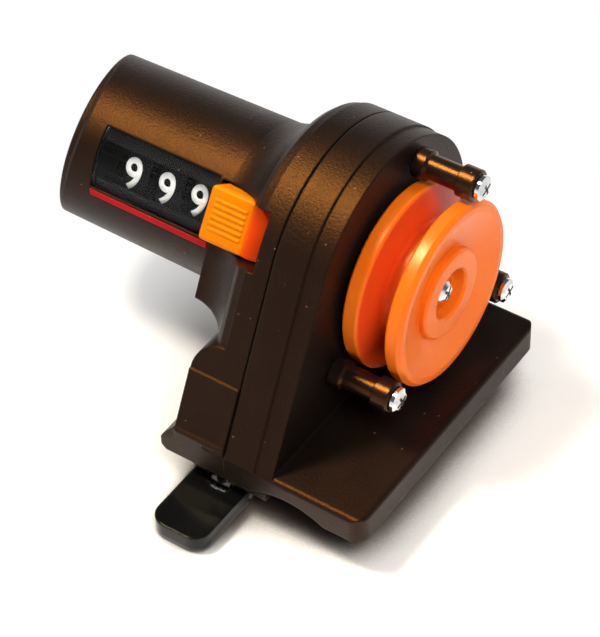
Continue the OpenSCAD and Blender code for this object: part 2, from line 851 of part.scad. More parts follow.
// Wheel with two rims, a line groove, a dished front and a hub ring
module line_wheel() color(orange_color) {
    groove_x0 = wheel_x + rear_rim_w;
    groove_x1 = groove_x0 + groove_w;
    seat_x = wheel_front - recess_d;
    at_axis() turn_x() polygon([
        [shaft_r + press, wheel_x + dish_d],
        [dish_r, wheel_x + dish_d],
        [dish_r + dish_d, wheel_x],
        [wheel_r - 0.4, wheel_x],
        [wheel_r, wheel_x + 0.4],
        [wheel_r, groove_x0 - 0.4],
        [wheel_r - 0.4, groove_x0],
        [groove_r + 0.5, groove_x0 + 0.9],
        [groove_r, groove_x0 + 1.4],
        [groove_r, groove_x1 - 1.4],
        [groove_r + 0.5, groove_x1 - 0.9],
        [wheel_r - 0.4, groove_x1],
        [wheel_r, groove_x1 + 0.4],
        [wheel_r, wheel_front - 0.7],
        [wheel_r - 0.7, wheel_front],
        [wheel_r - 1.7, wheel_front],
        [hub_r + 0.4, wheel_front - 1.7],
        [hub_r, wheel_front - 1.7],
        [hub_r, wheel_front - 0.7],
        [hub_r - 0.4, wheel_front - 0.3],
        [recess_r + 0.4, wheel_front - 0.3],
        [recess_r, wheel_front - 0.7],
        [recess_r, seat_x],
        [shaft_r + press, seat_x]
    ]);
}

wheel_screw_r = 0.7;
wheel_screw_l = 4.4;
washer_t = 0.4;
module wheel_shaft() color(steel_color) {
    difference() {
        at_axis() rod_x(stage_x[0], wheel_front - recess_d, shaft_r);
        at_axis() rod_x(wheel_front - recess_d - wheel_screw_l, wheel_front, wheel_screw_r + press);
    }
}

module wheel_washer() color(steel_color) {
    at_axis() tube_x(wheel_front - recess_d, wheel_front - recess_d + washer_t, 3, wheel_screw_r + run);
}

module wheel_screw() color(steel_color) {
    head_x = wheel_front - recess_d + washer_t;
    at_axis() difference() {
        union() {
            rod_x(head_x - wheel_screw_l, head_x, wheel_screw_r);
            translate([head_x, 0, 0]) turn_x() polygon([[0, 0], [1.9, 0], [1.9, 0.6], [1.2, 1.2], [0, 1.3]]);
        }
        for (a = [45, 135]) rotate([a, 0, 0]) bar(head_x + 0.6, head_x + 2, 0.5, -1.2, 1.2);
    }
}

module drive_pinion() color(brass_color) {
    difference() {
        at_axis() slab_x(stage_x[0], stage_x[0] + gear_t) gear_outline(gear_m, pinion_teeth, 0);
        at_axis() rod_x(stage_x[0] - eps, stage_x[0] + gear_t + eps, shaft_r + press);
    }
}

// Gear and pinion on one hub
module compound_gear(x0, x1, x2, m1, n1, m2, n2, turned) {
    difference() {
        union() {
            slab_x(x1, x2) gear_outline(m1, n1, turned);
            slab_x(x0, x1) gear_outline(m2, n2, turned);
        }
        rod_x(x0 - eps, x2 + eps, arbor_r + run);
    }
}

module first_gear() color(white_color) {
    at_first_arbor() compound_gear(stage_x[1] - 0.2, stage_x[0], stage_x[0] + gear_t,
        gear_m, gear_teeth, gear_m, pinion_teeth, first_turn);
}

module second_gear() color(white_color) {
    at_second_arbor() compound_gear(stage_x[2] - 0.2, stage_x[1], stage_x[1] + gear_t,
        gear_m, gear_teeth, last_m, last_pinion_teeth, second_turn);
}

// Gear and sleeve that turn the units wheel
module units_drive() color(white_color) {
    difference() {
        union() {
            at_barrel() slab_x(stage_x[2], stage_x[2] + gear_t) gear_outline(last_m, units_teeth, units_turn);
            at_barrel() rod_x(drum_x[0] + drum_w / 2, stage_x[2] + gear_t, sleeve_r);
        }
        at_barrel() rod_x(drum_x[0], stage_x[2] + gear_t + eps, number_shaft_r + run);
    }
}

// Heart-shaped cam under the button's stem
module reset_cam() color(brass_color) {
    mid = (button_x0 + button_x1) / 2;
    points = 48;
    low = sleeve_r + 0.5;
    rise = 1.1;
    difference() {
        at_barrel() slab_x(mid - 1, mid + 1) polygon([
            for (i = [0:points - 1]) polar(low + rise * (1 - abs(2 * i / points - 1)), i * 360 / points)
        ]);
        at_barrel() rod_x(mid - 1 - eps, mid + 1 + eps, sleeve_r + press);
    }
}

drum_wall = 1.2;
drum_hub_r = 5;
disc_r = 5.4;
// Number wheel with its carry ring towards the lower wheel and its carry disc towards the higher one
module number_wheel(i, has_ring, has_disc) {
    x0 = drum_x[i] - drum_w / 2;
    x1 = drum_x[i] + drum_w / 2;
    side = (drum_pitch - drum_w - free) / 2;
    difference() {
        at_barrel() union() {
            difference() {
                rod_x(x0, x1, drum_r);
                tube_x(x0 - eps, x0 + drum_wall, drum_r - drum_wall, drum_hub_r);
                if (!has_ring) tube_x(x1 - drum_wall, x1 + eps, drum_r - drum_wall, drum_hub_r);
            }
            if (has_ring) slab_x(x1, x1 + side) gear_outline(carry_m, ring_teeth, 0);
            if (has_disc) {
                rod_x(x0 - side, x0, disc_r);
                translate([0, disc_r - 0.4, 0]) bar(x0 - side, x0, 1.4, -1.2, 1.2);
            }
        }
        at_barrel() rod_x(x0 - side - eps, x1 + side + eps, number_shaft_r + run);
    }
}

module units_wheel() color(rubber_color) {
    number_wheel(0, false, true);
}

module tens_wheel() color(rubber_color) {
    number_wheel(1, true, true);
}

module hundreds_wheel() color(rubber_color) {
    number_wheel(2, true, false);
}

module carry_pinion(i) {
    side = (drum_pitch - drum_w) / 2 - run;
    mid = drum_x[i] + drum_pitch / 2;
    difference() {
        at_carry() slab_x(mid - side, mid + side) gear_outline(carry_m, carry_teeth, carry_turn);
        at_carry() rod_x(mid - side - eps, mid + side + eps, carry_shaft_r + run);
    }
}

module tens_carry_pinion() color(white_color) {
    carry_pinion(1);
}

module hundreds_carry_pinion() color(white_color) {
    carry_pinion(2);
}

// Radius of the button's corners and of its top edges
button_corner = 1.1;
button_edge = 0.5;
// Length of the button's ramp
ramp_l = 3.6;
// Button with finger ridges, a ramp at its right end and a stem
module reset_button() color(amber_color) {
    mid = (button_x0 + button_x1) / 2;
    ramp = button_h - step_h;
    ridge_pitch = button_w * 0.62 / ridge_count;
    at_window() {
        difference() {
            union() {
                intersection() {
                    slab_y(-button_w / 2, button_w / 2) polygon([
                        [button_x0, button_bottom],
                        [button_x1, button_bottom],
                        [button_x1, button_top - ramp],
                        [button_x1 - ramp_l, button_top - button_edge / 2],
                        [button_x1 - ramp_l - button_edge, button_top],
                        [button_x0 + button_edge, button_top],
                        [button_x0, button_top - button_edge]
                    ]);
                    slab_x(button_x0, button_x1)
                        round_rect([-button_w / 2, 0], [button_w / 2, button_top], 0.8);
                    translate([0, 0, button_bottom]) linear_extrude(button_top - button_bottom)
                        round_rect([button_x0, -button_w / 2], [button_x1, button_w / 2], button_corner);
                }
                translate([mid, 0, stem_end]) cylinder(h = button_top - stem_end - 1, r = stem_r);
                for (i = [0:ridge_count - 1])
                    translate([0, (i - (ridge_count - 1) / 2) * ridge_pitch, button_top - 0.1])
                        rod_x(button_x0 + 1.4, button_x1 - ramp_l - 1.2, ridge_pitch * 0.34);
            }
            translate([mid, 0, button_bottom - eps]) difference() {
                cylinder(h = spring_top - button_bottom + eps, r = spring_r + spring_wire_r + pocket);
                cylinder(h = spring_top, r = stem_r);
            }
            translate([mid, 0, stem_end + clip_end]) difference() {
                cylinder(h = clip_t + 2 * press, r = stem_r + eps);
                translate([0, 0, -eps]) cylinder(h = clip_t + 2 * eps, r = stem_r - clip_groove);
            }
        }
    }
}

// Ring on the stem that stops the button below the well's floor
module stem_clip() color(steel_color) {
    at_window() translate([(button_x0 + button_x1) / 2, 0, stem_end + clip_end + press]) difference() {
        cylinder(h = clip_t, r = stem_r + 0.9);
        translate([0, 0, -eps]) cylinder(h = clip_t + 2 * eps, r = stem_r - clip_groove + press);
        translate([0, -0.6, -eps]) cube([stem_r + 2, 1.2, clip_t + 2 * eps]);
    }
}

// Coil spring as one tube along a helix with flat end turns
coil_rings = 16;
coil_sides = 6;
coil_low = well_floor + spring_wire_r + 0.05;
coil_high = spring_top - spring_wire_r - 0.05;
coil_count = spring_turns * coil_rings;
function coil_rise(t) = t < 0.1 ? 0 : t > 0.9 ? 1 : (t - 0.1) / 0.8;
function coil_point(i) =
    let (t = i / coil_count, a = 360 * spring_turns * t)
    [spring_r * cos(a), spring_r * sin(a), coil_low + (coil_high - coil_low) * coil_rise(t)];
coil_points = [
    for (i = [0:coil_count], j = [0:coil_sides - 1])
        let (c = coil_point(i), a = 360 * spring_turns * i / coil_count, b = 360 * j / coil_sides)
        [
            c[0] + spring_wire_r * cos(b) * cos(a),
            c[1] + spring_wire_r * cos(b) * sin(a),
            c[2] + spring_wire_r * sin(b)
        ]
];
coil_faces = concat(
    [[for (j = [0:coil_sides - 1]) j]],
    [
        for (i = [0:coil_count - 1], j = [0:coil_sides - 1], half = [0, 1])
            let (k = (j + 1) % coil_sides, a = i * coil_sides, b = a + coil_sides)
            half == 0 ? [a + j, b + j, b + k] : [a + j, b + k, a + k]
    ],
    [[for (j = [coil_sides - 1:-1:0]) coil_count * coil_sides + j]]
);

module button_spring() color(steel_color) {
    at_window() translate([(button_x0 + button_x1) / 2, 0, 0]) polyhedron(coil_points, coil_faces);
}

// Guide roller with a collar at each end
module guide_roller(i) {
    tip = wheel_front;
    root = face_x + roller_play;
    at_guide(i) turn_x() polygon([
        [guide_screw_r + run, root],
        [collar_r - 0.3, root],
        [collar_r - 0.1, root + 0.2],
        [collar_r - 0.1, root + root_collar_w - 0.3],
        [roller_r, root + root_collar_w],
        [roller_r, tip - tip_collar_w],
        [collar_r, tip - tip_collar_w + 0.2],
        [collar_r, tip - 0.3],
        [collar_r - 0.3, tip],
        [guide_screw_r + run, tip]
    ]);
}

module top_guide_roller() color(rubber_color) {
    guide_roller(0);
}

module left_guide_roller() color(rubber_color) {
    guide_roller(1);
}

module right_guide_roller() color(rubber_color) {
    guide_roller(2);
}

// Length of the jaw's tongue along the rod
tongue_l = 14;
// Foot of the jaw that reaches back under the barrel's weight, past the lever and the tongue
foot_back = seam_x - block_d;
foot_gap = 5.4;
foot_end = -base_l / 2 + stud_end + lever_w + foot_gap;
foot_t = 3;
// Jaw that swings on its front edge and presses the rod up
module clamp_jaw() color(body_color) {
    block_back = stud_x + lever_w / 2 + free;
    tongue_back = stud_x - lever_w / 2 + free;
    tongue_front = -saddle_r - 1;
    tongue_end = -base_l / 2 + 1;
    difference() {
        union() {
            intersection() {
                translate([0, 0, jaw_bottom]) linear_extrude(jaw_top - jaw_bottom)
                    round_rect([block_back - 4, -jaw_half], [jaw_front, jaw_half], base_corner_r - 0.6);
                slab_y(-jaw_half, jaw_half) polygon([
                    [block_back, jaw_bottom + 0.6],
                    [block_back + 0.6, jaw_bottom],
                    [jaw_front - 0.6, jaw_bottom],
                    [jaw_front, jaw_bottom + 0.6],
                    [jaw_front, jaw_top - 1.6],
                    [jaw_front - 1.6, jaw_top],
                    [block_back, jaw_top]
                ]);
            }
            translate([0, 0, jaw_bottom]) linear_extrude(foot_t)
                round_rect([foot_back, foot_end], [0, jaw_half], base_corner_r - 0.6);
            translate([tongue_back, tongue_end, tongue_bottom])
                cube([tongue_front - tongue_back, tongue_l, tongue_t]);
            translate([block_back, -jaw_half, jaw_top - 1])
                cube([tongue_front - block_back, tongue_end + tongue_l + jaw_half, tongue_top - jaw_top + 1]);
        }
        rod_y(-base_l, base_l, saddle_r);
        translate([hinge_x, 0, hinge_z]) rod_y(-jaw_half - eps, jaw_half + eps, hinge_pin_r + run);
        for (y = lug_y)
            translate([hinge_x - lug_r - free, y - lug_w / 2 - free, jaw_bottom - eps])
                cube([base_front, lug_w + 2 * free, base_z - jaw_bottom]);
        translate([stud_x, stud_y, jaw_bottom]) cylinder(h = base_z - jaw_bottom, r = stud_r + free);
        translate([stud_x - stud_r - free, -base_l, jaw_bottom])
            cube([2 * (stud_r + free), base_l + stud_y, base_z - jaw_bottom]);
    }
}

module jaw_hinge_pin() color(steel_color) {
    translate([hinge_x, 0, hinge_z]) rod_y(-jaw_half + 0.2, jaw_half - 0.2, hinge_pin_r);
}

// Stud that is fixed in the rear block, with an eye for the lever's pin
stud_depth = 6;
module clamp_stud() color(steel_color) {
    difference() {
        union() {
            translate([stud_x, stud_y, lever_z])
                cylinder(h = stud_depth + base_z - 0.2 - lever_z, r = stud_r);
            translate([stud_x, stud_y, lever_z]) rod_x(-eye_w / 2, eye_w / 2, lever_pin_r + 1);
        }
        translate([stud_x, stud_y, lever_z]) rod_x(-eye_w, eye_w, lever_pin_r + press);
    }
}

// Drop of the jaw at the stud as the lever opens
lever_drop = (hinge_x - stud_x) * sin(jaw_swing);
// Radius of the paddle's corners
paddle_r = 3;
// Angle that the cam's curve runs on past the lever's swing
cam_extra = 25;
// Lever with two cams that straddle the stud, and a paddle that stands out past the base
module cam_lever() color(rubber_color) {
    steps = 40;
    cam_sweep = lever_swing + cam_extra;
    cam_low_r = cam_r - 1.1;
    inner = eye_w / 2 + fork_gap;
    paddle_z = -lever_t / 2 + 0.2;
    translate([stud_x, stud_y, lever_z]) difference() {
        union() {
            for (side = [-1, 1])
                slab_x(side < 0 ? -lever_w / 2 : inner, side < 0 ? -inner : lever_w / 2)
                    polygon([for (i = [0:steps - 1])
                        let (a = i * 360 / steps, past = (450 - a) % 360)
                        polar(past <= cam_sweep ? cam_r - lever_drop * past / lever_swing : cam_low_r, a)]);
            translate([0, 0, paddle_z]) linear_extrude(lever_t) difference() {
                union() {
                    translate([-lever_w / 2, -lever_l + paddle_r]) square([lever_w, lever_l - paddle_r]);
                    for (x = [-1, 1])
                        translate([x * (lever_w / 2 - paddle_r), -lever_l + paddle_r]) circle(paddle_r);
                    translate([-lever_w / 2 + paddle_r, -lever_l])
                        square([lever_w - 2 * paddle_r, lever_l / 2]);
                }
                circle(inner + 1.2);
                translate([-inner, -inner - 1]) square([2 * inner, inner + 3]);
            }
        }
        rod_x(-lever_w, lever_w, lever_pin_r + run);
    }
}

module lever_pin() color(steel_color) {
    translate([stud_x, stud_y, lever_z]) rod_x(-lever_w / 2, lever_w / 2, lever_pin_r);
}

front_shell();
rear_shell();
window_lens();
index_stripe();
base_pad();
shaft_bush();
gear_plate();
plate_screws();
first_arbor();
second_arbor();
number_shaft();
carry_shaft();
guide_screws();
line_wheel();
wheel_shaft();
wheel_washer();
wheel_screw();
drive_pinion();
first_gear();
second_gear();
units_drive();
reset_cam();
units_wheel();
tens_wheel();
hundreds_wheel();
tens_carry_pinion();
hundreds_carry_pinion();
reset_button();
stem_clip();
button_spring();
top_guide_roller();
left_guide_roller();
right_guide_roller();
clamp_jaw();
jaw_pad();
jaw_hinge_pin();
clamp_stud();
cam_lever();
lever_pin();
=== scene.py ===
"""Looks of the fishing line counter: finishes, number bands, floor, light and camera."""

import json
import logging
import math
from dataclasses import dataclass, field
from enum import Enum
from typing import ClassVar

import bmesh
import bpy
from mathutils import Matrix, Vector

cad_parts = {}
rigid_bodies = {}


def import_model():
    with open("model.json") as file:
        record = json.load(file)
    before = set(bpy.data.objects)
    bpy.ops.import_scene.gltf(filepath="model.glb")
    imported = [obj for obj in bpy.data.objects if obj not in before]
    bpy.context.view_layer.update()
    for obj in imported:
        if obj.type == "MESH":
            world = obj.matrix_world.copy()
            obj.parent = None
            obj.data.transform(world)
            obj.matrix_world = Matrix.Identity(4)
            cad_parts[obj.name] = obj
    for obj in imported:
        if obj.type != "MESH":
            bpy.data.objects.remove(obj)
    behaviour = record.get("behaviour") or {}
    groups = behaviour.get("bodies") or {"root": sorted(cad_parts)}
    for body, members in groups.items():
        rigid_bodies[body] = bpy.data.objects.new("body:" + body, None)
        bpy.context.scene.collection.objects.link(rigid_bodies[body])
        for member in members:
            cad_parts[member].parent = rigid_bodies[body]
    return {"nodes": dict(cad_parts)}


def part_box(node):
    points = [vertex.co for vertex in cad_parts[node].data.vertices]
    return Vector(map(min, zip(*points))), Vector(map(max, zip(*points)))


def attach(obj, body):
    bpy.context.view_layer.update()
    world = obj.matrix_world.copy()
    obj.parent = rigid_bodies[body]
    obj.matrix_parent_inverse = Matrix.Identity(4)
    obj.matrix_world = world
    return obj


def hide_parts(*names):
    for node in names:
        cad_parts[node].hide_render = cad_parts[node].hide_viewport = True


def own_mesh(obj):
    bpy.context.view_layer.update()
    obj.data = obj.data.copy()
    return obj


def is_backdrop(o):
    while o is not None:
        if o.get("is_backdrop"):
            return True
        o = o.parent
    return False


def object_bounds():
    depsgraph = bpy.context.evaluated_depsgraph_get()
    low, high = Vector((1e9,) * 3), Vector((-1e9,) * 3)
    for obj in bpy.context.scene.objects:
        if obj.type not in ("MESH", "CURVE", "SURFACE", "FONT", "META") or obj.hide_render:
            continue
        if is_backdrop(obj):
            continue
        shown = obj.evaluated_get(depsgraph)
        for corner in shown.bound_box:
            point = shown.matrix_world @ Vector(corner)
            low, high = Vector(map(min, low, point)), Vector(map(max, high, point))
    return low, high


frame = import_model()
LOG = logging.getLogger("line_counter")
MM = 0.001
IMAGE_WIDTH = 600
SENSOR_WIDTH = 36.0
WINDOW_ANGLE = 146.0  # degrees from +Y towards +Z about the number wheels' axis
DIGIT_COUNT = 10

Colour = tuple[float, float, float]
Span = tuple[float, float]
Point = tuple[float, float, float]
Node = bpy.types.Node
Socket = bpy.types.NodeSocket
Tree = bpy.types.NodeTree
Sockets = list[tuple[str, str, str, object]]
WHITE: Colour = (1.0, 1.0, 1.0)
PALE_DUST: Colour = (0.9, 0.9, 0.88)
KEY_PLACE: Point = (-0.285, -0.12, 0.62)


class Sheen(Enum):
    """How a plastic's surface was left by its mould."""

    SATIN = "satin"
    GLOSS = "gloss"


class Metal(Enum):
    """How a metal piece was finished."""

    CHROME = "chrome"
    STEEL = "steel"
    BRASS = "brass"


def rgba(colour: Colour) -> tuple[float, float, float, float]:
    """A colour with full cover."""
    return (*colour, 1.0)


def placed(name: str, data: bpy.types.ID) -> bpy.types.Object:
    """Makes an object at the origin and links it to the scene.

    Args:
        name: Name of the object.
        data: Its mesh, curve, light or camera.

    Returns:
        The new object.
    """
    item = bpy.data.objects.new(name, data)
    bpy.context.scene.collection.objects.link(item)
    return item


def baked(item: bpy.types.Object) -> bpy.types.Mesh:
    """Turns an object with its modifiers into a plain mesh.

    Args:
        item: Object to read.

    Returns:
        The new mesh.
    """
    bpy.context.view_layer.update()
    ready = item.evaluated_get(bpy.context.evaluated_depsgraph_get())
    return bpy.data.meshes.new_from_object(ready)


@dataclass
class Graph:
    """A node tree that is being wired up.

    Args:
        tree: The shader or geometry tree that gets the nodes.
    """

    tree: Tree

    def add(self, kind: str, **values: object) -> Node:
        """Adds a node and sets its properties and unlinked inputs.

        Args:
            kind: Blender's name of the node type.
            values: Properties by their name, and inputs by theirs with spaces as underscores.

        Returns:
            The new node.
        """
        node = self.tree.nodes.new(kind)
        for name, value in values.items():
            if hasattr(node, name):
                setattr(node, name, value)
                continue
            node.inputs[name.replace("_", " ")].default_value = value
        return node

    def link(self, source: Socket, target: Socket) -> None:
        """Joins an output to an input."""
        self.tree.links.new(source, target)

    def chain(self, *nodes: Node) -> None:
        """Joins the first output of each node to the first input of the next."""
        for before, after in zip(nodes, nodes[1:]):
            self.link(before.outputs[0], after.inputs[0])

    def math(self, operation: str, first: object, second: object) -> Socket:
        """Adds a sum of two values, each one a number or an output.

        Args:
            operation: Blender's name of the sum.
            first: Left value.
            second: Right value.

        Returns:
            The result's output.
        """
        node = self.add("ShaderNodeMath", operation=operation)
        for socket, value in zip(node.inputs, (first, second)):
            if isinstance(value, Socket):
                self.link(value, socket)
            else:
                socket.default_value = value
        return node.outputs[0]

    def step(self, value: Socket, low: float, high: float) -> Socket:
        """Turns a value into a soft mask from 0 at low to 1 at high.

        Args:
            value: Output to read.
            low: Value that gives 0.
            high: Value that gives 1.

        Returns:
            The mask's output.
        """
        node = self.add("ShaderNodeMapRange", interpolation_type="SMOOTHSTEP")
        node.inputs["From Min"].default_value = low
        node.inputs["From Max"].default_value = high
        self.link(value, node.inputs["Value"])
        return node.outputs["Result"]


def new_group(name: str, kind: str, sockets: Sockets) -> tuple[Graph, Node, Node]:
    """Starts a node group with named sockets.

    Args:
        name: Name of the group.
        kind: Blender's name of the tree type.
        sockets: Direction, name, type of value and default of each socket.

    Returns:
        The graph, its input node and its output node.
    """
    tree = bpy.data.node_groups.new(name, kind)
    for direction, label, value, default in sockets:
        made = tree.interface.new_socket(
            name=label, in_out=direction, socket_type=f"NodeSocket{value}"
        )
        if default is not None:
            made.default_value = default
    graph = Graph(tree)
    return graph, graph.add("NodeGroupInput"), graph.add("NodeGroupOutput")


class Effects:
    """Surface effects that several finishes share, each one built once as a node group."""

    FINE_SHARE = 0.55
    BROAD_SHARE = 0.45
    DUST_EDGE: Span = (0.16, 0.05)
    DUST_PICK: Span = (0.93, 0.95)
    RUB_PULL = (1.0, 0.18, 0.4)
    RUB_TURN = (0.3, 0.5, 0.8)
    RUB_EDGE: Span = (0.52, 0.72)
    PATCH_EDGE: Span = (0.35, 0.68)

    def __init__(self) -> None:
        """Builds every group."""
        self.grain = self._grain()
        self.marks = self._marks()
        self.drift = self._drift()

    def _grain(self) -> Tree:
        """Fine texture of a spark-eroded mould: a height and a shade that follow it.

        Returns:
            The node group.
        """
        graph, given, out = new_group(
            "mould_grain",
            "ShaderNodeTree",
            [
                ("INPUT", "Scale", "Float", 4000.0),
                ("INPUT", "Swell", "Float", 120.0),
                ("OUTPUT", "Height", "Float", None),
                ("OUTPUT", "Shade", "Float", None),
            ],
        )
        place = graph.add("ShaderNodeTexCoord").outputs["Object"]
        fine = graph.add("ShaderNodeTexNoise", Detail=4.0, Roughness=0.6)
        broad = graph.add("ShaderNodeTexNoise", Detail=3.0, Roughness=0.5)
        for node, name in ((fine, "Scale"), (broad, "Swell")):
            graph.link(place, node.inputs["Vector"])
            graph.link(given.outputs[name], node.inputs["Scale"])
        graph.link(fine.outputs["Fac"], out.inputs["Height"])
        shade = graph.math("MULTIPLY", fine.outputs["Fac"], self.FINE_SHARE)
        swell = graph.math("MULTIPLY", broad.outputs["Fac"], self.BROAD_SHARE)
        graph.link(graph.math("ADD", shade, swell), out.inputs["Shade"])
        return graph.tree

    def _marks(self) -> Tree:
        """Dust grains and short rub marks, as two masks.

        Returns:
            The node group.
        """
        graph, given, out = new_group(
            "dust_and_rubs",
            "ShaderNodeTree",
            [
                ("INPUT", "Dust Scale", "Float", 900.0),
                ("INPUT", "Rub Scale", "Float", 260.0),
                ("OUTPUT", "Dust", "Float", None),
                ("OUTPUT", "Rubs", "Float", None),
            ],
        )
        place = graph.add("ShaderNodeTexCoord").outputs["Object"]
        cells = graph.add("ShaderNodeTexVoronoi", feature="F1")
        graph.link(place, cells.inputs["Vector"])
        graph.link(given.outputs["Dust Scale"], cells.inputs["Scale"])
        near = graph.step(cells.outputs["Distance"], *self.DUST_EDGE)
        chosen = graph.add("ShaderNodeSeparateColor")
        graph.link(cells.outputs["Color"], chosen.inputs["Color"])
        rare = graph.step(chosen.outputs["Red"], *self.DUST_PICK)
        graph.link(graph.math("MULTIPLY", near, rare), out.inputs["Dust"])
        pull = graph.add("ShaderNodeMapping", Scale=self.RUB_PULL, Rotation=self.RUB_TURN)
        graph.link(place, pull.inputs["Vector"])
        rub = graph.add("ShaderNodeTexNoise", Detail=5.0, Roughness=0.7)
        graph.link(pull.outputs["Vector"], rub.inputs["Vector"])
        graph.link(given.outputs["Rub Scale"], rub.inputs["Scale"])
        graph.link(graph.step(rub.outputs["Fac"], *self.RUB_EDGE), out.inputs["Rubs"])
        return graph.tree

    def _drift(self) -> Tree:
        """A colour that drifts towards a second one in soft patches.

        Returns:
            The node group.
        """
        graph, given, out = new_group(
            "colour_drift",
            "ShaderNodeTree",
            [
                ("INPUT", "Colour", "Color", (0.5, 0.5, 0.5, 1.0)),
                ("INPUT", "Second", "Color", (0.4, 0.4, 0.4, 1.0)),
                ("INPUT", "Scale", "Float", 90.0),
                ("OUTPUT", "Colour", "Color", None),
            ],
        )
        place = graph.add("ShaderNodeTexCoord").outputs["Object"]
        noise = graph.add("ShaderNodeTexNoise", Detail=4.0, Roughness=0.55)
        graph.link(place, noise.inputs["Vector"])
        graph.link(given.outputs["Scale"], noise.inputs["Scale"])
        mix = graph.add("ShaderNodeMix", data_type="RGBA")
        graph.link(graph.step(noise.outputs["Fac"], *self.PATCH_EDGE), mix.inputs["Factor"])
        graph.link(given.outputs["Colour"], mix.inputs["A"])
        graph.link(given.outputs["Second"], mix.inputs["B"])
        graph.link(mix.outputs["Result"], out.inputs["Colour"])
        return graph.tree


@dataclass
class Surface:
    """A material with its shader, ready for an effect on each socket.

    Args:
        name: Name of the material.
    """

    name: str
    material: bpy.types.Material = field(init=False)
    graph: Graph = field(init=False)
    shader: Node = field(init=False)

    def __post_init__(self) -> None:
        """Makes the material and keeps its shader."""
        self.material = bpy.data.materials.new(self.name)
        self.material.use_nodes = True
        self.graph = Graph(self.material.node_tree)
        self.shader = self.material.node_tree.nodes["Principled BSDF"]

    def group(self, tree: Tree, **values: object) -> Node:
        """Places a shared effect.

        Args:
            tree: The effect's node group.
            values: Its inputs by their name, with spaces as underscores.

        Returns:
            The placed group.
        """
        node = self.graph.add("ShaderNodeGroup")
        node.node_tree = tree
        for name, value in values.items():
            node.inputs[name.replace("_", " ")].default_value = value
        return node

    def set(self, **values: object) -> None:
        """Sets plain values on the shader's own sockets, spaces as underscores."""
        for name, value in values.items():
            self.shader.inputs[name.replace("_", " ")].default_value = value

    def tint(self, base: Socket, colour: Colour, mask: Socket) -> Socket:
        """Mixes a colour over another one by a mask.

        Args:
            base: Colour below.
            colour: Colour above.
            mask: Where the upper colour shows.

        Returns:
            The mixed colour.
        """
        mix = self.graph.add("ShaderNodeMix", data_type="RGBA")
        self.graph.link(base, mix.inputs["A"])
        mix.inputs["B"].default_value = rgba(colour)
        self.graph.link(mask, mix.inputs["Factor"])
        return mix.outputs["Result"]

    def bump(self, height: Socket, depth: float, strength: float, edge: float = 0.0) -> None:
        """Feeds a height, and round edges if wanted, into the shader's normal.

        Args:
            height: Height from 0 to 1.
            depth: Depth in metres that a height of 1 stands for.
            strength: Share of the effect.
            edge: Radius of the round edges in metres.
        """
        node = self.graph.add("ShaderNodeBump", Distance=depth, Strength=strength)
        self.graph.link(height, node.inputs["Height"])
        if edge:
            round_edge = self.graph.add("ShaderNodeBevel", samples=6, Radius=edge)
            self.graph.link(round_edge.outputs["Normal"], node.inputs["Normal"])
        self.graph.link(node.outputs["Normal"], self.shader.inputs["Normal"])

    def spread(self, value: Socket, low: float, high: float, socket: str) -> None:
        """Maps a value from 0..1 onto a range and feeds it to a socket.

        Args:
            value: Output to read.
            low: Result at 0.
            high: Result at 1.
            socket: Name of the shader's input.
        """
        node = self.graph.add("ShaderNodeMapRange")
        node.inputs["To Min"].default_value = low
        node.inputs["To Max"].default_value = high
        self.graph.link(value, node.inputs["Value"])
        self.graph.link(node.outputs["Result"], self.shader.inputs[socket])


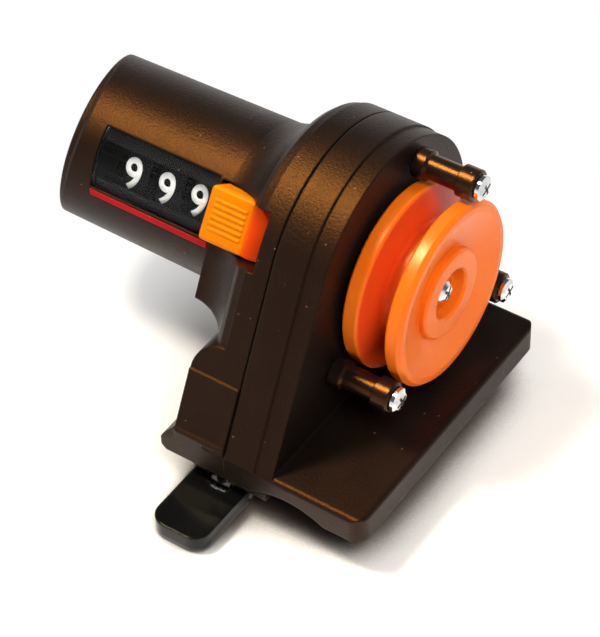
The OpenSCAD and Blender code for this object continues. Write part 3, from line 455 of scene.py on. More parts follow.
@dataclass(frozen=True)
class PlasticFinish:
    """A moulded plastic.

    Args:
        name: Name of the material.
        colour: Main colour.
        second: Colour of its soft patches.
        rough: Lowest and highest roughness.
        sheen: Satin or gloss.
        grain: Scale of the mould's texture.
        depth: Depth of that texture in metres.
        dust: Colour of the dust on it.
        glint: Tint of its highlights.
        glow: Share of light that scatters inside it.
        edge: Radius of its round edges in metres.
        shine: Strength of its highlights, 0.5 for a common plastic.
        end_tint: Colour of painted shade that it takes on over a part of its length, if any.
        end_span: Range of X in metres over which that painted shade sets in.
        end_stop: Range of X in metres over which that painted shade fades again, if it does.
    """

    name: str
    colour: Colour
    second: Colour
    rough: Span
    sheen: Sheen = Sheen.SATIN
    grain: float = 2600.0
    depth: float = 6e-6
    dust: Colour = PALE_DUST
    glint: Colour = WHITE
    glow: float = 0.0
    edge: float = 0.3 * MM
    shine: float = 0.3
    end_tint: Colour | None = None
    end_span: Span = (0.0, 0.0)
    end_stop: Span | None = None

    SWELL = 140.0
    DUST_SHARE = {Sheen.SATIN: 0.6, Sheen.GLOSS: 0.35}
    RUB_SHARE = -0.25
    BUMP_SHARE = 0.6
    COAT = 0.12
    GLOW_RADIUS = (1.0, 0.25, 0.08)
    GLOW_DEPTH = 1.2 * MM

    def toned(self, surface: Surface, colour: Socket) -> Socket:
        """Lays a painted shade colour over a part of the length.

        Args:
            surface: The material that is being made.
            colour: Colour below.

        Returns:
            The mixed colour.
        """
        graph = surface.graph
        place = graph.add("ShaderNodeSeparateXYZ")
        graph.link(graph.add("ShaderNodeTexCoord").outputs["Object"], place.inputs[0])
        shade_mask = graph.step(place.outputs["X"], *self.end_span)
        if self.end_stop:
            kept = graph.step(place.outputs["X"], *self.end_stop)
            shade_mask = graph.math("MULTIPLY", shade_mask, kept)
        return surface.tint(colour, self.end_tint, shade_mask)

    def make(self, effects: Effects) -> Surface:
        """Builds the material.

        Args:
            effects: The shared node groups.

        Returns:
            The finished surface.
        """
        surface = Surface(self.name)
        graph = surface.graph
        grain = surface.group(effects.grain, Scale=self.grain, Swell=self.SWELL)
        marks = surface.group(effects.marks)
        drift = surface.group(effects.drift, Colour=rgba(self.colour), Second=rgba(self.second))
        dusty = graph.math("MULTIPLY", marks.outputs["Dust"], self.DUST_SHARE[self.sheen])
        colour = surface.tint(drift.outputs["Colour"], self.dust, dusty)
        # Painted shade: a darker, redder colour over the part of the length where shade falls.
        if self.end_tint:
            colour = self.toned(surface, colour)
        graph.link(colour, surface.shader.inputs["Base Color"])
        rubbed = graph.math("MULTIPLY", marks.outputs["Rubs"], self.RUB_SHARE)
        worn = graph.math("ADD", grain.outputs["Shade"], rubbed)
        surface.spread(worn, *self.rough, "Roughness")
        surface.bump(grain.outputs["Height"], self.depth, self.BUMP_SHARE, self.edge)
        surface.set(Specular_Tint=rgba(self.glint), Specular_IOR_Level=self.shine)
        if self.sheen is Sheen.GLOSS:
            surface.set(Coat_Weight=self.COAT, Coat_Roughness=self.COAT)
        if self.glow:
            surface.set(Subsurface_Weight=self.glow, Subsurface_Radius=self.GLOW_RADIUS)
            surface.set(Subsurface_Scale=self.GLOW_DEPTH)
        return surface


@dataclass(frozen=True)
class MetalFinish:
    """A metal.

    Args:
        name: Name of the material.
        colour: Colour of its reflection.
        kind: How it was finished.
        rough: Lowest and highest roughness.
    """

    name: str
    colour: Colour
    kind: Metal
    rough: Span

    DARKER = 0.72
    PATCH_SCALE = 420.0
    RUB_SCALE = 900.0
    GRAIN_SCALE = 5200.0
    DEPTH = {Metal.CHROME: 2e-6, Metal.STEEL: 8e-6, Metal.BRASS: 8e-6}
    BUMP_SHARE = 0.5

    def make(self, effects: Effects) -> Surface:
        """Builds the material.

        Args:
            effects: The shared node groups.

        Returns:
            The finished surface.
        """
        surface = Surface(self.name)
        darker: Colour = tuple(self.DARKER * part for part in self.colour)
        drift = surface.group(effects.drift, Colour=rgba(self.colour), Second=rgba(darker))
        drift.inputs["Scale"].default_value = self.PATCH_SCALE
        surface.graph.link(drift.outputs["Colour"], surface.shader.inputs["Base Color"])
        marks = surface.group(effects.marks, Rub_Scale=self.RUB_SCALE)
        surface.spread(marks.outputs["Rubs"], *self.rough, "Roughness")
        grain = surface.group(effects.grain, Scale=self.GRAIN_SCALE)
        surface.bump(grain.outputs["Height"], self.DEPTH[self.kind], self.BUMP_SHARE)
        surface.set(Metallic=1.0)
        return surface


@dataclass(frozen=True)
class RubberFinish:
    """A black lining rubber with a dry, dusty skin.

    Args:
        name: Name of the material.
        colour: Main colour.
        second: Colour of its dry patches.
    """

    name: str
    colour: Colour
    second: Colour

    PATCH_SCALE = 260.0
    GRAIN_SCALE = 2600.0
    ROUGH = (0.6, 0.9)
    DEPTH = 4e-5
    BUMP_SHARE = 0.7

    def make(self, effects: Effects) -> Surface:
        """Builds the material.

        Args:
            effects: The shared node groups.

        Returns:
            The finished surface.
        """
        surface = Surface(self.name)
        drift = surface.group(effects.drift, Colour=rgba(self.colour), Second=rgba(self.second))
        drift.inputs["Scale"].default_value = self.PATCH_SCALE
        surface.graph.link(drift.outputs["Colour"], surface.shader.inputs["Base Color"])
        grain = surface.group(effects.grain, Scale=self.GRAIN_SCALE)
        surface.spread(grain.outputs["Shade"], *self.ROUGH, "Roughness")
        surface.bump(grain.outputs["Height"], self.DEPTH, self.BUMP_SHARE)
        return surface


@dataclass(frozen=True)
class ClearFinish:
    """A clear moulded window with faint scuffs.

    Args:
        name: Name of the material.
        colour: Tint of the light that passes.
    """

    name: str
    colour: Colour

    INDEX = 1.18
    DUST_SCALE = 620.0
    RUB_SCALE = 420.0
    ROUGH = (0.02, 0.09)
    DEPTH = 4e-5
    BUMP_SHARE = 0.5

    def make(self, effects: Effects) -> Surface:
        """Builds the material.

        Args:
            effects: The shared node groups.

        Returns:
            The finished surface.
        """
        surface = Surface(self.name)
        surface.set(Base_Color=rgba(self.colour), IOR=self.INDEX)
        surface.set(Transmission_Weight=1.0, Metallic=0.0)
        marks = surface.group(effects.marks, Dust_Scale=self.DUST_SCALE)
        marks.inputs["Rub Scale"].default_value = self.RUB_SCALE
        surface.spread(marks.outputs["Rubs"], *self.ROUGH, "Roughness")
        surface.bump(marks.outputs["Dust"], self.DEPTH, self.BUMP_SHARE)
        return surface


@dataclass
class Palette:
    """Every finish of the counter, by the name that its pieces use.

    Args:
        effects: The shared node groups.
        ramp_l: Length of the button's ramp, which gets a redder painted shade than its top.
        ramp_edge: Range about the ramp's start over which that painted shade sets in.
        groove_in: Distances behind the wheel's front where the groove's red painted shade sets
            in.
        groove_out: Distances behind the wheel's front where that painted shade fades.
        made: The finished surfaces by name.
    """

    effects: Effects
    ramp_l: float = 3.8 * MM
    ramp_edge: Span = (-0.9 * MM, 0.5 * MM)
    groove_in: Span = (8.3 * MM, 7.8 * MM)
    groove_out: Span = (5.0 * MM, 6.6 * MM)
    made: dict[str, Surface] = field(default_factory=dict)

    def build(self) -> None:
        """Makes every material once."""
        for finish in (*self.dark_plastics(), *self.bright_plastics(), *self.others()):
            self.made[finish.name] = finish.make(self.effects)

    @staticmethod
    def dark_plastics() -> list[PlasticFinish]:
        """The housing, the rollers, the lever and the number wheels.

        Returns:
            Their finishes.
        """
        gold: Colour = (1.0, 0.36, 0.07)
        brown_dust: Colour = (0.3, 0.2, 0.1)
        return [
            PlasticFinish(
                "housing_plastic",
                colour=(0.0058, 0.0042, 0.0036),
                second=(0.0082, 0.0056, 0.0045),
                rough=(0.3, 0.5),
                grain=2300.0,
                depth=1.3e-4,
                dust=brown_dust,
                glint=gold,
                edge=0.5 * MM,
                shine=0.22,
            ),
            PlasticFinish(
                "roller_plastic",
                colour=(0.006, 0.0045, 0.0036),
                second=(0.009, 0.006, 0.0045),
                rough=(0.2, 0.32),
                depth=1e-5,
                dust=brown_dust,
                glint=gold,
                shine=0.6,
            ),
            PlasticFinish(
                "black_plastic",
                colour=(0.0025, 0.0023, 0.0022),
                second=(0.0036, 0.0034, 0.0031),
                rough=(0.12, 0.24),
                sheen=Sheen.GLOSS,
                dust=brown_dust,
                edge=0.7 * MM,
                shine=0.15,
            ),
            PlasticFinish(
                "number_plastic",
                colour=(0.004, 0.004, 0.0045),
                second=(0.006, 0.006, 0.007),
                rough=(0.3, 0.45),
                shine=0.05,
            ),
        ]

    def bright_plastics(self) -> list[PlasticFinish]:
        """The line wheel, the button, the stripe, the gears and the digits.

        Returns:
            Their finishes.
        """
        orange_dust: Colour = (0.9, 0.36, 0.1)
        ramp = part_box("reset_button")[1].x - self.ramp_l
        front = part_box("line_wheel")[1].x
        return [
            PlasticFinish(
                "orange_plastic",
                colour=(0.78, 0.155, 0.008),
                second=(0.75, 0.135, 0.006),
                rough=(0.26, 0.42),
                grain=2200.0,
                dust=orange_dust,
                glint=(1.0, 0.72, 0.5),
                glow=0.2,
                # Painted shade: deeper red over the groove's floor and rear flange, where the
                # front flange's shade falls.
                end_tint=(0.64, 0.06, 0.009),
                end_span=tuple(front - depth for depth in self.groove_in),
                end_stop=tuple(front - depth for depth in self.groove_out),
            ),
            PlasticFinish(
                "amber_plastic",
                colour=(0.67, 0.18, 0.0012),
                second=(0.65, 0.165, 0.0008),
                rough=(0.34, 0.5),
                grain=2200.0,
                dust=orange_dust,
                glint=(1.0, 0.5, 0.05),
                glow=0.15,
                shine=0.2,
                # Painted shade: the ramp, which faces away from the key lamp, is painted redder
                # than the button's top.
                end_tint=(0.82, 0.06, 0.005),
                end_span=tuple(ramp + shift for shift in self.ramp_edge),
            ),
            PlasticFinish(
                "red_stripe",
                colour=(0.4, 0.003, 0.009),
                second=(0.34, 0.002, 0.007),
                rough=(0.3, 0.45),
                depth=5e-6,
                shine=0.06,
            ),
            PlasticFinish(
                "gear_plastic",
                colour=(0.8, 0.79, 0.74),
                second=(0.74, 0.72, 0.66),
                rough=(0.35, 0.5),
                grain=2200.0,
                depth=8e-6,
            ),
            PlasticFinish(
                "number_white",
                colour=(0.86, 0.86, 0.84),
                second=(0.8, 0.8, 0.78),
                rough=(0.35, 0.5),
                grain=2200.0,
                edge=0.0,
            ),
        ]

    @staticmethod
    def others() -> list[MetalFinish | RubberFinish | ClearFinish]:
        """The metals, the lining rubber and the window.

        Returns:
            Their finishes.
        """
        return [
            MetalFinish("chrome", (0.86, 0.86, 0.85), Metal.CHROME, rough=(0.08, 0.24)),
            MetalFinish("steel", (0.62, 0.62, 0.62), Metal.STEEL, rough=(0.25, 0.45)),
            MetalFinish("brass", (0.78, 0.56, 0.24), Metal.BRASS, rough=(0.2, 0.4)),
            RubberFinish("rubber", (0.02, 0.019, 0.018), second=(0.05, 0.046, 0.042)),
            ClearFinish("clear_window", (0.96, 0.97, 0.98)),
        ]

    def dress(self, name: str, *nodes: str) -> None:
        """Gives CAD nodes a finish.

        Args:
            name: Name of the finish.
            nodes: Names of the CAD nodes.
        """
        for node in nodes:
            materials = frame["nodes"][node].data.materials
            materials.clear()
            materials.append(self.made[name].material)
        LOG.info("%s: %s", name, ", ".join(nodes))


@dataclass
class Assembly:
    """A sub-assembly, which names the finish of each of its nodes."""

    FINISHES: ClassVar[dict[str, tuple[str, ...]]] = {}

    def dress(self, palette: Palette) -> None:
        """Gives the nodes their finishes.

        Args:
            palette: The finishes.
        """
        for name, nodes in self.FINISHES.items():
            palette.dress(name, *nodes)


class Housing(Assembly):
    """Both shells with the base, the window and the stripe below it."""

    FINISHES = {
        "housing_plastic": ("front_shell", "rear_shell"),
        "clear_window": ("window_lens",),
        "red_stripe": ("index_stripe",),
        "rubber": ("base_pad",),
    }


@dataclass
class NumberWheels(Assembly):
    """The three number wheels, whose digits are wrapped round them as bands.

    Args:
        digit_h: Height of a digit.
        digit_w: Width of a digit.
        digit_shift: Place of the digits along the axis, from the middle of their wheel.
        digit_lift: Height of the band above the wheel.
        digit_t: Thickness of a digit.
        digit_bold: Extra weight of a digit's strokes, as a share of its height.
        curve_steps: Number of edges along each curve of a digit.
        face_angle: Direction that the shown digits face, from +Y towards +Z about the axis.
        rim_share: Share of the wheel's radius beyond which its printed rim lies.
        shown: Digit that faces the window on each wheel, and how far it has rolled on.
    """

    digit_h: float = 5.8 * MM
    digit_w: float = 3.3 * MM
    digit_shift: float = -1.1 * MM
    digit_lift: float = 0.03 * MM
    digit_t: float = 0.04 * MM
    digit_bold: float = 0.02
    curve_steps: int = 5
    face_angle: float = math.radians(154.0)
    rim_share: float = 0.985
    shown: dict[str, tuple[int, float]] = field(
        default_factory=lambda: {"hundreds": (9, 0.0), "tens": (9, 0.01), "units": (9, -0.05)}
    )

    FINISHES = {
        "number_plastic": ("units_wheel", "tens_wheel", "hundreds_wheel"),
        "gear_plastic": ("tens_carry_pinion", "hundreds_carry_pinion"),
        "steel": ("number_shaft", "carry_shaft"),
        "brass": ("reset_cam",),
    }

    def digits(self) -> bpy.types.Collection:
        """Makes the ten digits as flat meshes in a collection of their own.

        Returns:
            The collection, with the digits in order of their names.
        """
        kept = bpy.data.collections.new("digit_shapes")
        for value in range(DIGIT_COUNT):
            curve = bpy.data.curves.new(f"digit_{value}", "FONT")
            curve.body = str(value)
            curve.align_x = "CENTER"
            curve.size = self.digit_h
            curve.offset = self.digit_bold * self.digit_h
            curve.resolution_u = self.curve_steps
            text = placed(f"digit_{value}", curve)
            mesh = baked(text)
            bpy.data.objects.remove(text)
            low, high = (
                Vector(pick(corner.co[i] for corner in mesh.vertices) for i in range(3))
                for pick in (min, max)
            )
            size = high - low
            tall = self.digit_h / size.y
            mesh.transform(Matrix.Translation(-(low + high) / 2))
            mesh.transform(Matrix.Diagonal((min(self.digit_w / size.x, tall), tall, 1, 1)))
            kept.objects.link(bpy.data.objects.new(f"digit_{value}", mesh))
        return kept

    def tree(self) -> Tree:
        """Builds the tree that sets ten digits in a row and wraps the row round a wheel.

        Returns:
            The geometry tree.
        """
        graph, given, out = new_group(
            "digit_band",
            "GeometryNodeTree",
            [
                ("INPUT", "Digits", "Collection", None),
                ("INPUT", "Radius", "Float", 0.01),
                ("INPUT", "Thickness", "Float", 0.0001),
                ("INPUT", "Centre", "Vector", (0.0, 0.0, 0.0)),
                ("INPUT", "Start Angle", "Float", 0.0),
                ("INPUT", "Finish", "Material", None),
                ("OUTPUT", "Geometry", "Geometry", None),
            ],
        )
        arc = graph.math("MULTIPLY", given.outputs["Radius"], math.tau / DIGIT_COUNT)
        step = graph.add("ShaderNodeCombineXYZ")
        graph.link(arc, step.inputs["Y"])
        row = graph.add("GeometryNodeMeshLine", mode="OFFSET", Count=DIGIT_COUNT)
        graph.link(step.outputs[0], row.inputs["Offset"])
        shapes = graph.add(
            "GeometryNodeCollectionInfo", Separate_Children=True, Reset_Children=True
        )
        graph.link(given.outputs["Digits"], shapes.inputs["Collection"])
        spread = graph.add("GeometryNodeInstanceOnPoints", Pick_Instance=True)
        graph.link(row.outputs["Mesh"], spread.inputs["Points"])
        graph.link(shapes.outputs[0], spread.inputs["Instance"])
        order = graph.add("GeometryNodeInputIndex")
        graph.link(order.outputs[0], spread.inputs["Instance Index"])
        real = graph.add("GeometryNodeRealizeInstances")
        cut = graph.add("GeometryNodeTriangulate")
        fine = graph.add("GeometryNodeSubdivideMesh", Level=1)
        thick = graph.add("GeometryNodeExtrudeMesh", mode="FACES", Individual=False)
        up = graph.add("ShaderNodeCombineXYZ", Z=1.0)
        graph.link(up.outputs[0], thick.inputs["Offset"])
        graph.link(given.outputs["Thickness"], thick.inputs["Offset Scale"])
        bent = graph.add("GeometryNodeSetPosition")
        graph.link(self.wrap(graph, given), bent.inputs["Position"])
        painted = graph.add("GeometryNodeSetMaterial")
        graph.link(given.outputs["Finish"], painted.inputs["Material"])
        graph.chain(spread, real, cut, fine, thick, bent, painted, out)
        return graph.tree

    @staticmethod
    def wrap(graph: Graph, given: Node) -> Socket:
        """Adds the sum that bends a flat row round the wheel's axis.

        Args:
            graph: Tree that gets the nodes.
            given: The tree's input node.

        Returns:
            The bent place.
        """
        place = graph.add("ShaderNodeSeparateXYZ")
        graph.link(graph.add("GeometryNodeInputPosition").outputs[0], place.inputs[0])
        turned = graph.math("DIVIDE", place.outputs["Y"], given.outputs["Radius"])
        angle = graph.math("SUBTRACT", given.outputs["Start Angle"], turned)
        reach = graph.math("ADD", given.outputs["Radius"], place.outputs["Z"])
        made = graph.add("ShaderNodeCombineXYZ")
        graph.link(place.outputs["X"], made.inputs["X"])
        for socket, turn in (("Y", "COSINE"), ("Z", "SINE")):
            share = graph.math(turn, angle, 0.0)
            graph.link(graph.math("MULTIPLY", reach, share), made.inputs[socket])
        moved = graph.add("ShaderNodeVectorMath", operation="ADD")
        graph.link(made.outputs[0], moved.inputs[0])
        graph.link(given.outputs["Centre"], moved.inputs[1])
        return moved.outputs[0]

    def build(self, palette: Palette) -> None:
        """Makes one band of digits for each wheel.

        Args:
            palette: The finishes.
        """
        shapes = self.digits()
        tree = self.tree()
        sockets = {
            item.name: item.identifier
            for item in tree.interface.items_tree
            if item.in_out == "INPUT"
        }
        for body, (digit, rolled) in self.shown.items():
            low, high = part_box(f"{body}_wheel")
            middle = (low + high) / 2
            drum = self.drum_middle(body)
            radius = (high.y - low.y) / 2 + self.digit_lift
            holder = placed(f"{body}_digits", bpy.data.meshes.new(f"{body}_digits"))
            modifier = holder.modifiers.new("band", "NODES")
            modifier.node_group = tree
            values = {
                "Digits": shapes,
                "Radius": radius,
                "Thickness": self.digit_t,
                "Centre": (drum + self.digit_shift, middle.y, middle.z),
                "Start Angle": self.face_angle + (digit + rolled) * math.tau / DIGIT_COUNT,
                "Finish": palette.made["number_white"].material,
            }
            for name, value in values.items():
                modifier[sockets[name]] = value
            made = baked(holder)
            holder.modifiers.remove(modifier)
            holder.data = made
            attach(holder, body)
            LOG.info("%s: %d faces", holder.name, len(made.polygons))
        for shape in list(shapes.objects):
            bpy.data.objects.remove(shape)
        bpy.data.collections.remove(shapes)

    def drum_middle(self, body: str) -> float:
        """Middle of a number wheel's printed rim along the axis.

        Args:
            body: Name of the wheel's body.

        Returns:
            Its place in metres.
        """
        low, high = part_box(f"{body}_wheel")
        rim = (high.y - low.y) / 2 * self.rim_share
        centre = (low + high) / 2
        spots = [
            v.co.x
            for v in frame["nodes"][f"{body}_wheel"].data.vertices
            if math.hypot(v.co.y - centre.y, v.co.z - centre.z) > rim
        ]
        return (min(spots) + max(spots)) / 2


@dataclass
class NumberMask:
    """Two dark curved strips inside the window, painted shade of its deep frame, that leave one
    row of digits open.

    Args:
        inner_r: Inner radius of the strips about the number wheels' axis.
        outer_r: Outer radius, a little inside the barrel's wall that holds them.
        window_angle: Direction of the window about that axis, in degrees.
        above: Angles from the window's middle up to the upper strip's edges, in degrees.
        below: Angles from the window's middle down to the lower strip's edges, in degrees.
        end_gap: Room between the strips and the window's ends.
        steps: Number of faces along each strip's arc.
    """

    inner_r: float = 12.6 * MM
    outer_r: float = 13.15 * MM
    window_angle: float = WINDOW_ANGLE
    above: Span = (-29.0, -12.0)
    below: Span = (16.5, 29.0)
    end_gap: float = 0.3 * MM
    steps: int = 12

    def strip(self, span: Span) -> tuple[list[Vector], list[tuple[int, ...]]]:
        """Makes one strip's corners and faces.

        Args:
            span: Angles of its edges from the window's middle, in degrees.

        Returns:
            The corners, and the faces as lists of corners.
        """
        low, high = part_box("window_lens")
        wheel_low, wheel_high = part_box("units_wheel")
        centre = (wheel_low + wheel_high) / 2
        left, right = low.x + self.end_gap, high.x - self.end_gap
        section = (
            (left, self.inner_r),
            (right, self.inner_r),
            (right, self.outer_r),
            (left, self.outer_r),
        )
        corners: list[Vector] = []
        for step in range(self.steps + 1):
            opened = span[0] + (span[1] - span[0]) * step / self.steps
            turn = math.radians(self.window_angle + opened)
            for x, r in section:
                y, z = centre.y + r * math.cos(turn), centre.z + r * math.sin(turn)
                corners.append(Vector((x, y, z)))
        sides = len(section)
        last = sides * self.steps
        faces: list[tuple[int, ...]] = [
            tuple(range(sides)),
            tuple(last + i for i in reversed(range(sides))),
        ]
        for first in range(0, last, sides):
            for i in range(sides):
                a, b = first + i, first + (i + 1) % sides
                faces.append((a, a + sides, b + sides, b))
        return corners, faces

    def build(self, palette: Palette) -> None:
        """Makes both strips as one piece on the housing.

        Args:
            palette: The finishes.
        """
        corners: list[Vector] = []
        faces: list[tuple[int, ...]] = []
        for span in (self.above, self.below):
            more, around = self.strip(span)
            faces += [tuple(i + len(corners) for i in face) for face in around]
            corners += more
        # Painted shade: dark strips where the deep window frame's shade falls on the number
        # wheels.
        mesh = bpy.data.meshes.new("number_mask")
        mesh.from_pydata(corners, [], faces)
        shape = bmesh.new()
        shape.from_mesh(mesh)
        bmesh.ops.recalc_face_normals(shape, faces=shape.faces)
        shape.to_mesh(mesh)
        shape.free()
        mesh.materials.append(palette.made["number_plastic"].material)
        mask = placed("number_mask", mesh)
        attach(mask, "housing")
        LOG.info("%s: %d faces", mask.name, len(mesh.polygons))


class LineWheel(Assembly):
    """The line wheel on its shaft, with its screw and washer."""

    FINISHES = {
        "orange_plastic": ("line_wheel",),
        "chrome": ("wheel_screw", "wheel_washer"),
        "steel": ("wheel_shaft",),
        "brass": ("shaft_bush", "drive_pinion"),
    }


class GearTrain(Assembly):
    """The gears, arbors and plate between the line wheel and the units wheel."""

    FINISHES = {
        "gear_plastic": ("first_gear", "second_gear", "units_drive"),
        "steel": ("gear_plate", "plate_screws", "first_arbor", "second_arbor"),
    }


class LineGuides(Assembly):
    """The three guide rollers on their screws."""

    FINISHES = {
        "roller_plastic": ("top_guide_roller", "left_guide_roller", "right_guide_roller"),
        "chrome": ("guide_screws",),
    }


@dataclass
class ResetButton(Assembly):
    """The reset button with its spring and stop ring.

    Args:
        window_angle: Direction that the button stands out in, in degrees; not used.
        travel: Way that the button goes in when it is pressed; not used.
        weld: Distance within which the coil's loose corners are joined.
    """

    window_angle: float = WINDOW_ANGLE
    travel: float = 2 * MM
    weld: float = 0.0005 * MM

    FINISHES = {"amber_plastic": ("reset_button",), "steel": ("stem_clip",)}

    def spring(self, palette: Palette) -> None:
        """Makes a welded copy of the button's coil on the housing.

        Args:
            palette: The finishes.
        """
        mesh = frame["nodes"]["button_spring"].data.copy()
        mesh.name = "coil_spring"
        shape = bmesh.new()
        shape.from_mesh(mesh)
        bmesh.ops.remove_doubles(shape, verts=shape.verts, dist=self.weld)
        shape.to_mesh(mesh)
        shape.free()
        coil = placed("coil_spring", mesh)
        mesh.materials.clear()
        mesh.materials.append(palette.made["steel"].material)
        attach(coil, "housing")
        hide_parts("button_spring")
        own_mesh(coil)

    def dress(self, palette: Palette) -> None:
        """Gives the nodes their finishes and adds the coil.

        Args:
            palette: The finishes.
        """
        super().dress(palette)
        self.spring(palette)


class RodClamp(Assembly):
    """The jaw, its hinge and the lever below the base."""

    FINISHES = {
        "housing_plastic": ("clamp_jaw",),
        "black_plastic": ("cam_lever",),
        "rubber": ("jaw_pad",),
        "steel": ("jaw_hinge_pin", "clamp_stud", "lever_pin"),
    }


@dataclass(frozen=True)
class Lamp:
    """A square lamp of the set.

    Args:
        name: Name of the lamp.
        place: Where it hangs.
        size: Length of its side.
        power: Power in watts.
        colour: Colour of its light.
        mirrored: Whether surfaces show its reflection.
        lit: Whether it lights surfaces beyond that reflection.
    """

    name: str
    place: Point
    size: float
    power: float
    colour: Colour = WHITE
    mirrored: bool = False
    lit: bool = True

    def hang(self, target: Vector) -> None:
        """Hangs the lamp so that it faces a point.

        Args:
            target: What it faces.
        """
        light = bpy.data.lights.new(self.name, "AREA")
        light.shape = "SQUARE"
        light.size = self.size
        light.energy = self.power
        light.color = self.colour
        lamp = placed(self.name, light)
        lamp.location = self.place
        lamp.rotation_mode = "QUATERNION"
        lamp.rotation_quaternion = (target - Vector(self.place)).to_track_quat("-Z", "Y")
        lamp.visible_glossy = self.mirrored
        lamp.visible_diffuse = self.lit


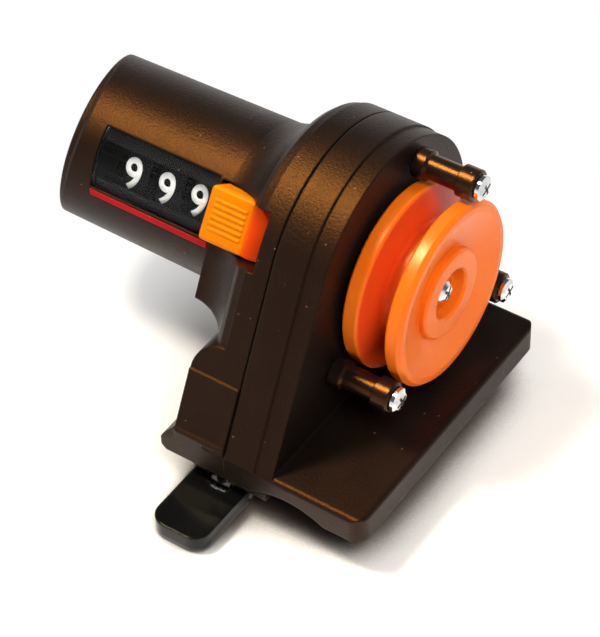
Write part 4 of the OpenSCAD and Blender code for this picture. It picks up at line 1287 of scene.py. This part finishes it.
@dataclass
class Studio:
    """White table, soft lamps and the camera.

    Args:
        azimuth: Direction of the camera round the counter, in degrees.
        elevation: Height of the camera above the horizon, in degrees.
        roll: Turn of the picture, in degrees.
        distance: Distance from the camera to the wheel's front.
        focal: Focal length in pixels of the picture.
        aim: Ray through the picture's middle, as shares to the right and up.
        near: Distance from the camera at which it starts to see.
        horizon: Heights above the horizon, as sines, where reflections see dark and white walls.
        room: Colour of the even light in the room.
        table_reach: Half of the table's side.
        table_rough: Roughness of the table.
        table_colour: Colour of the table.
        shadow_colour: Colour of the painted shadow on the table right below the counter.
        shadow_reach: Distance within which the painted shadow darkens the table below the
            counter.
        shadow_edge: Shares of open sky between which that painted shadow fades.
        white_from: Distances from the counter's middle between which the table turns white.
        lit_point: What the lamps face.
        lamps: The lamps.
    """

    azimuth: float = 31.40
    elevation: float = 44.56
    roll: float = 0.84
    distance: float = 0.4
    focal: float = 2512.6
    aim: tuple[float, float] = (-0.0611, -0.0091)
    near: float = 10 * MM
    horizon: Span = (0.36, 0.04)
    room: Colour = (0.12, 0.117, 0.113)
    table_reach: float = 3.0
    table_rough: float = 0.75
    table_colour: Colour = (0.93, 0.9, 0.86)
    shadow_colour: Colour = (0.08, 0.055, 0.043)
    shadow_reach: float = 12 * MM
    shadow_edge: Span = (0.35, 0.8)
    white_from: Span = (30 * MM, 80 * MM)
    lit_point: Point = (-0.02, 0.0, 0.02)
    lamps: tuple[Lamp, ...] = (
        Lamp("key_lamp", KEY_PLACE, size=0.14, power=4.6, colour=(1.0, 0.95, 0.88)),
        Lamp(
            "glint_lamp",
            KEY_PLACE,
            size=0.16,
            power=11.5,
            colour=(1.0, 0.88, 0.55),
            mirrored=True,
            lit=False,
        ),
        Lamp("fill_lamp", (0.34, -0.2, 0.56), size=0.3, power=4.0, colour=(1.0, 0.98, 0.95)),
        Lamp("rear_lamp", (0.0, 0.4, 0.5), size=0.3, power=1.2),
    )

    def floor(self, level: float) -> None:
        """Lays a white table that keeps the counter's cast shadow and has a painted shadow below
        it.

        Args:
            level: Height of the table.
        """
        mesh = bpy.data.meshes.new("table")
        reach = self.table_reach
        corners = [(x * reach, y * reach, level) for x, y in ((-1, -1), (1, -1), (1, 1), (-1, 1))]
        mesh.from_pydata(corners, [], [(0, 1, 2, 3)])
        table = placed("table", mesh)
        material = bpy.data.materials.new("table_white")
        material.use_nodes = True
        graph = Graph(material.node_tree)
        shader = material.node_tree.nodes["Principled BSDF"]
        shader.inputs["Roughness"].default_value = self.table_rough
        glow = graph.add("ShaderNodeEmission", Color=rgba(WHITE), Strength=1.0)
        mix = graph.add("ShaderNodeMixShader")
        # Painted shadow: for camera rays the table is darkened below the counter by an occlusion
        # mask.
        open_sky = graph.add("ShaderNodeAmbientOcclusion", samples=8)
        open_sky.inputs["Distance"].default_value = self.shadow_reach
        colour = graph.add("ShaderNodeMix", data_type="RGBA")
        colour.inputs["A"].default_value = rgba(self.shadow_colour)
        colour.inputs["B"].default_value = rgba(self.table_colour)
        path = graph.add("ShaderNodeLightPath")
        hidden = graph.math("SUBTRACT", 1.0, path.outputs["Is Camera Ray"])
        shade = graph.step(open_sky.outputs["AO"], *self.shadow_edge)
        graph.link(graph.math("MAXIMUM", shade, hidden), colour.inputs["Factor"])
        graph.link(colour.outputs["Result"], shader.inputs["Base Color"])
        away = graph.add("ShaderNodeVectorMath", operation="LENGTH")
        graph.link(graph.add("ShaderNodeTexCoord").outputs["Object"], away.inputs[0])
        far = graph.step(away.outputs["Value"], *self.white_from)
        graph.link(graph.math("MULTIPLY", self.seen(graph), far), mix.inputs["Fac"])
        graph.link(shader.outputs[0], mix.inputs[1])
        graph.link(glow.outputs[0], mix.inputs[2])
        output = material.node_tree.nodes["Material Output"]
        graph.link(mix.outputs[0], output.inputs["Surface"])
        mesh.materials.append(material)
        table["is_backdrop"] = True

    @staticmethod
    def seen(graph: Graph, mirror: Socket | float = 1.0) -> Socket:
        """Tells where the background is seen, directly, in a reflection or through the window.

        Args:
            graph: Tree that gets the nodes.
            mirror: Share of it that reflections show.

        Returns:
            The mask's output.
        """
        path = graph.add("ShaderNodeLightPath")
        mirrored = graph.math("MULTIPLY", path.outputs["Is Glossy Ray"], mirror)
        through = graph.math("MAXIMUM", path.outputs["Is Transmission Ray"], mirrored)
        return graph.math("MAXIMUM", path.outputs["Is Camera Ray"], through)

    def world(self) -> None:
        """Fills the room with even light and shows white behind the table."""
        world = bpy.data.worlds.new("room")
        bpy.context.scene.world = world
        world.use_nodes = True
        graph = Graph(world.node_tree)
        mix = graph.add("ShaderNodeMix", data_type="RGBA")
        mix.inputs["A"].default_value = rgba(self.room)
        mix.inputs["B"].default_value = rgba(WHITE)
        place = graph.add("ShaderNodeSeparateXYZ")
        graph.link(graph.add("ShaderNodeTexCoord").outputs["Generated"], place.inputs[0])
        low_down = graph.step(place.outputs["Z"], *self.horizon)
        graph.link(self.seen(graph, low_down), mix.inputs["Factor"])
        background = world.node_tree.nodes["Background"]
        graph.link(mix.outputs["Result"], background.inputs["Color"])

    def camera(self) -> None:
        """Sets the camera up where the photograph was taken from."""
        az, el, roll = (math.radians(x) for x in (self.azimuth, self.elevation, self.roll))
        back = Vector((math.sin(az) * math.cos(el), -math.cos(az) * math.cos(el), math.sin(el)))
        right = Vector((math.cos(az), math.sin(az), 0.0))
        up = back.cross(right)
        across = math.cos(roll) * right + math.sin(roll) * up
        above = math.cos(roll) * up - math.sin(roll) * right
        low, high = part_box("line_wheel")
        target = Vector((high.x, (low.y + high.y) / 2, (low.z + high.z) / 2))
        data = bpy.data.cameras.new("camera")
        data.sensor_fit = "HORIZONTAL"
        data.sensor_width = SENSOR_WIDTH
        data.lens = self.focal * SENSOR_WIDTH / IMAGE_WIDTH
        data.clip_start = self.near
        camera = placed("camera", data)
        ahead = (self.aim[0] * across + self.aim[1] * above - back).normalized()
        side = ahead.cross(above).normalized()
        top = side.cross(ahead)
        turn = Matrix((side, top, -ahead)).transposed()
        stand = Matrix.Translation(target + self.distance * back)
        camera.matrix_world = stand @ turn.to_4x4()
        bpy.context.scene.camera = camera

    def build(self, level: float) -> None:
        """Builds the whole set.

        Args:
            level: Height of the table.
        """
        bpy.context.scene.view_settings.view_transform = "Standard"
        self.floor(level)
        self.world()
        for lamp in self.lamps:
            lamp.hang(Vector(self.lit_point))
        self.camera()


def main() -> None:
    """Dresses the counter and builds its set on a table at the bottom of the counter's box."""
    logging.basicConfig(level=logging.INFO)
    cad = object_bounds()
    palette = Palette(Effects())
    palette.build()
    numbers = NumberWheels()
    numbers.build(palette)
    NumberMask().build(palette)
    assemblies = (
        Housing(),
        numbers,
        LineWheel(),
        GearTrain(),
        LineGuides(),
        ResetButton(),
        RodClamp(),
    )
    for assembly in assemblies:
        assembly.dress(palette)
    Studio().build(cad[0].z)


if __name__ == "__main__":
    main()
